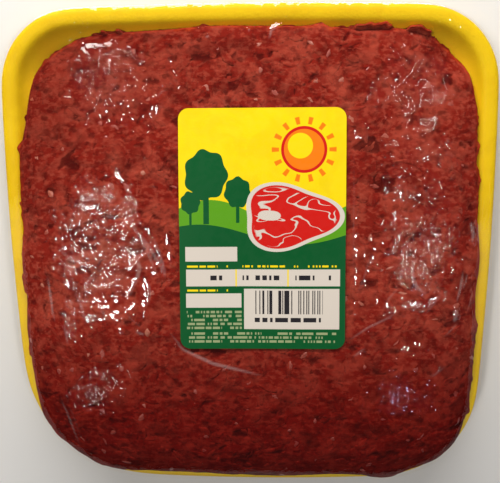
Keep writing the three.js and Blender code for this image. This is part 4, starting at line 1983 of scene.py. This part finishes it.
@dataclass
class PaperLabel:
    """The label: a sheet with rounded corners, bent to the film under it.

    Attributes:
        shape: The forms that the pieces share.
        width, length: The sheet's size.
        corner: Radius of its corners.
        centre: Where its middle lies.
        strip: Size of its faces.
        thickness: Its thickness.
        lift: How far it lies over the film.
        buckle, buckle_size: Height and size of its buckles.
    """

    shape: PackShape
    width: float = 58 * MM
    length: float = 83.4 * MM
    corner: float = 3.6 * MM
    centre: tuple[float, float] = (5.2 * MM, 13.6 * MM)
    strip: float = 1.6 * MM
    thickness: float = 0.12 * MM
    lift: float = 0.16 * MM
    buckle: float = 0.25 * MM
    buckle_size: float = 16 * MM

    def build(self, finish: bpy.types.Material) -> list[bpy.types.Object]:
        """Cuts the sheet, bends it and gives it its thickness.

        Args:
            finish: The printed paper.

        Returns:
            The label, alone.
        """
        bpy.ops.object.select_all(action="DESELECT")
        bpy.ops.mesh.primitive_plane_add(size=1)
        piece = named(bpy.context.object, "paper_label")
        piece.scale = (self.width, self.length, 1)
        bpy.ops.object.transform_apply(location=True, rotation=True, scale=True)
        bpy.ops.object.mode_set(mode="EDIT")
        bpy.ops.mesh.select_all(action="SELECT")
        bpy.ops.mesh.bevel(offset=self.corner, segments=7, affect="VERTICES")
        for size, normal in ((self.width, (1, 0, 0)), (self.length, (0, 1, 0))):
            for n in range(1, round(size / self.strip)):
                place = -size / 2 + n * size / round(size / self.strip)
                bpy.ops.mesh.select_all(action="SELECT")
                bpy.ops.mesh.bisect(plane_co=tuple(place * c for c in normal), plane_no=normal)
        bpy.ops.object.mode_set(mode="OBJECT")
        flat = read_points(piece.data)
        self._map(piece.data, flat)
        x, y = flat[:, 0] + self.centre[0], flat[:, 1] + self.centre[1]
        buckle = self.buckle * (bumps(x, y, self.buckle_size, 99) - 0.5)
        write_points(piece.data, np.stack([x, y, self.shape.film.height(x, y) + self.lift + buckle], 1))
        apply_modifier(piece, "SOLIDIFY", thickness=self.thickness, offset=1)
        select_only(piece)
        bpy.ops.object.shade_smooth_by_angle(angle=math.radians(40))
        piece.data.materials.append(finish)
        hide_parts("label")
        return [piece]

    def _map(self, mesh: bpy.types.Mesh, flat: np.ndarray) -> None:
        """Gives the sheet a UV map in label units: 1 is a metre, from the label's middle.

        Args:
            mesh: The sheet's mesh.
            flat: Its points while it is flat.
        """
        layer = mesh.uv_layers.get("UVMap") or mesh.uv_layers.new(name="UVMap")
        corners = np.empty(len(mesh.loops), dtype=np.int32)
        mesh.loops.foreach_get("vertex_index", corners)
        layer.uv.foreach_set("vector", np.ascontiguousarray(flat[corners, :2], dtype=np.float32).ravel())


# Studio


class LightKind(Enum):
    """What each lamp is for."""

    KEY = "key"
    LEFT = "left"
    RIGHT = "right"
    FAR_LEFT = "far_left"
    FAR_RIGHT = "far_right"
    NEAR_LEFT = "near_left"
    NEAR_RIGHT = "near_right"


class LightOutline(Enum):
    """A lamp's outline."""

    BOX = "RECTANGLE"
    ROUND = "ELLIPSE"


@dataclass(frozen=True)
class Lamp:
    """A flat lamp that points at the pack.

    Attributes:
        kind: What it is for.
        place: Where it stands, in metres.
        size: Its width and height, in metres.
        power: Its power, in watts.
        colour: Its light's colour.
        outline: Its outline.
        aim: What it points at, in metres.
    """

    kind: LightKind
    place: tuple[float, float, float]
    size: tuple[float, float]
    power: float
    colour: Colour = (1.0, 0.96, 0.91)
    outline: LightOutline = LightOutline.ROUND
    aim: tuple[float, float, float] = (0.0, 0.0, 0.02)

    def build(self) -> None:
        """Adds the lamp to the scene."""
        lamp = bpy.data.lights.new(self.kind.value, "AREA")
        lamp.shape, lamp.energy, lamp.color = self.outline.value, self.power, self.colour
        lamp.size, lamp.size_y = self.size
        holder = bpy.data.objects.new(self.kind.value, lamp)
        bpy.context.scene.collection.objects.link(holder)
        holder.location = self.place
        holder.rotation_mode = "QUATERNION"
        holder.rotation_quaternion = (Vector(self.aim) - Vector(self.place)).to_track_quat("-Z", "Y")


# A low soft box lights the pack. The small lamps show as glints in the film's creases.
LAMPS = (
    Lamp(LightKind.KEY, (-0.07, 0.50, 0.34), (0.70, 0.14), 4.45, outline=LightOutline.BOX),
    Lamp(LightKind.LEFT, (-0.40, 0.03, 0.95), (0.11, 0.11), 2.3),
    Lamp(LightKind.RIGHT, (0.44, 0.0, 0.95), (0.08, 0.08), 1.25),
    Lamp(LightKind.FAR_LEFT, (-0.34, 0.43, 0.87), (0.05, 0.05), 0.34),
    Lamp(LightKind.FAR_RIGHT, (0.38, 0.38, 0.88), (0.06, 0.06), 0.34),
    Lamp(LightKind.NEAR_LEFT, (-0.46, -0.36, 0.84), (0.07, 0.07), 0.26),
    Lamp(LightKind.NEAR_RIGHT, (0.42, -0.36, 0.86), (0.04, 0.04), 0.16, (0.72, 0.66, 1.0)),
)


@dataclass
class Studio:
    """The floor, the lamps and the camera.

    Attributes:
        floor_size: The floor's width, in metres.
        sky, sky_strength: Colour and strength of the light from all round.
        camera_place: Where the photograph was taken from.
        camera_rows: The camera's own X, Y and Z.
        lens, sensor: Its focal length and its sensor's width, in mm.
    """

    floor_size: float = 6.0
    sky: Colour = (0.9, 0.92, 0.95)
    sky_strength: float = 0.04
    camera_place: tuple[float, float, float] = (6.93 * MM, 52.01 * MM, 244.74 * MM)
    camera_rows: tuple[tuple[float, float, float], ...] = (
        (0.99960859, -0.0072298, -0.02702576),
        (0.00174465, 0.98026005, -0.19770481),
        (0.02792164, 0.19758028, 0.97988898),
    )
    lens: float = 44.28
    sensor: float = 36.0

    def build(self, floor_finish: bpy.types.Material) -> None:
        """Makes the floor, the lamps, the sky and the camera.

        Args:
            floor_finish: The floor's finish.
        """
        bpy.ops.object.select_all(action="DESELECT")
        bpy.ops.mesh.primitive_plane_add(size=self.floor_size)
        floor = named(bpy.context.object, "studio_floor")
        floor.data.materials.append(floor_finish)
        for lamp in LAMPS:
            lamp.build()
        world = bpy.data.worlds.new("studio")
        bpy.context.scene.world = world
        world.use_nodes = True
        sky = world.node_tree.nodes["Background"]
        sky.inputs["Color"].default_value = (*self.sky, 1)
        sky.inputs["Strength"].default_value = self.sky_strength
        bpy.context.scene.view_settings.view_transform = "Standard"
        self._camera()

    def _camera(self) -> None:
        """Adds the camera at the photograph's place and turn."""
        data = bpy.data.cameras.new("photo_camera")
        data.lens, data.sensor_width, data.sensor_fit = self.lens, self.sensor, "HORIZONTAL"
        data.clip_start, data.clip_end = 0.01, 20
        camera = bpy.data.objects.new("photo_camera", data)
        bpy.context.scene.collection.objects.link(camera)
        turn = Matrix(self.camera_rows).transposed().to_4x4()
        camera.matrix_world = Matrix.Translation(self.camera_place) @ turn
        bpy.context.scene.camera = camera


def main() -> None:
    """Builds the pack and its studio, and reports each piece."""
    logging.basicConfig(level=logging.INFO, format="%(message)s")
    shape = PackShape()
    mottle = mottle_effect()
    lean, fat = MeatFinish().build(mottle), FatFinish().build(mottle)
    pieces = FoamTray(shape).build(FoamFinish().build(mottle))
    pieces += Mince(shape).build(lean, fat)
    pieces += StretchFilm(shape).build(FilmFinish().build(mottle))
    pieces += PaperLabel(shape).build(LabelFinish().build(mottle))
    for piece in pieces:
        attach(piece, BODY)
        low, high = np.array(piece.bound_box).min(0) / MM, np.array(piece.bound_box).max(0) / MM
        LOG.info("%s: %d faces, %s to %s mm", piece.name, len(piece.data.polygons), low.round(1), high.round(1))
    Studio().build(FloorFinish().build(mottle))


if __name__ == "__main__":
    main()
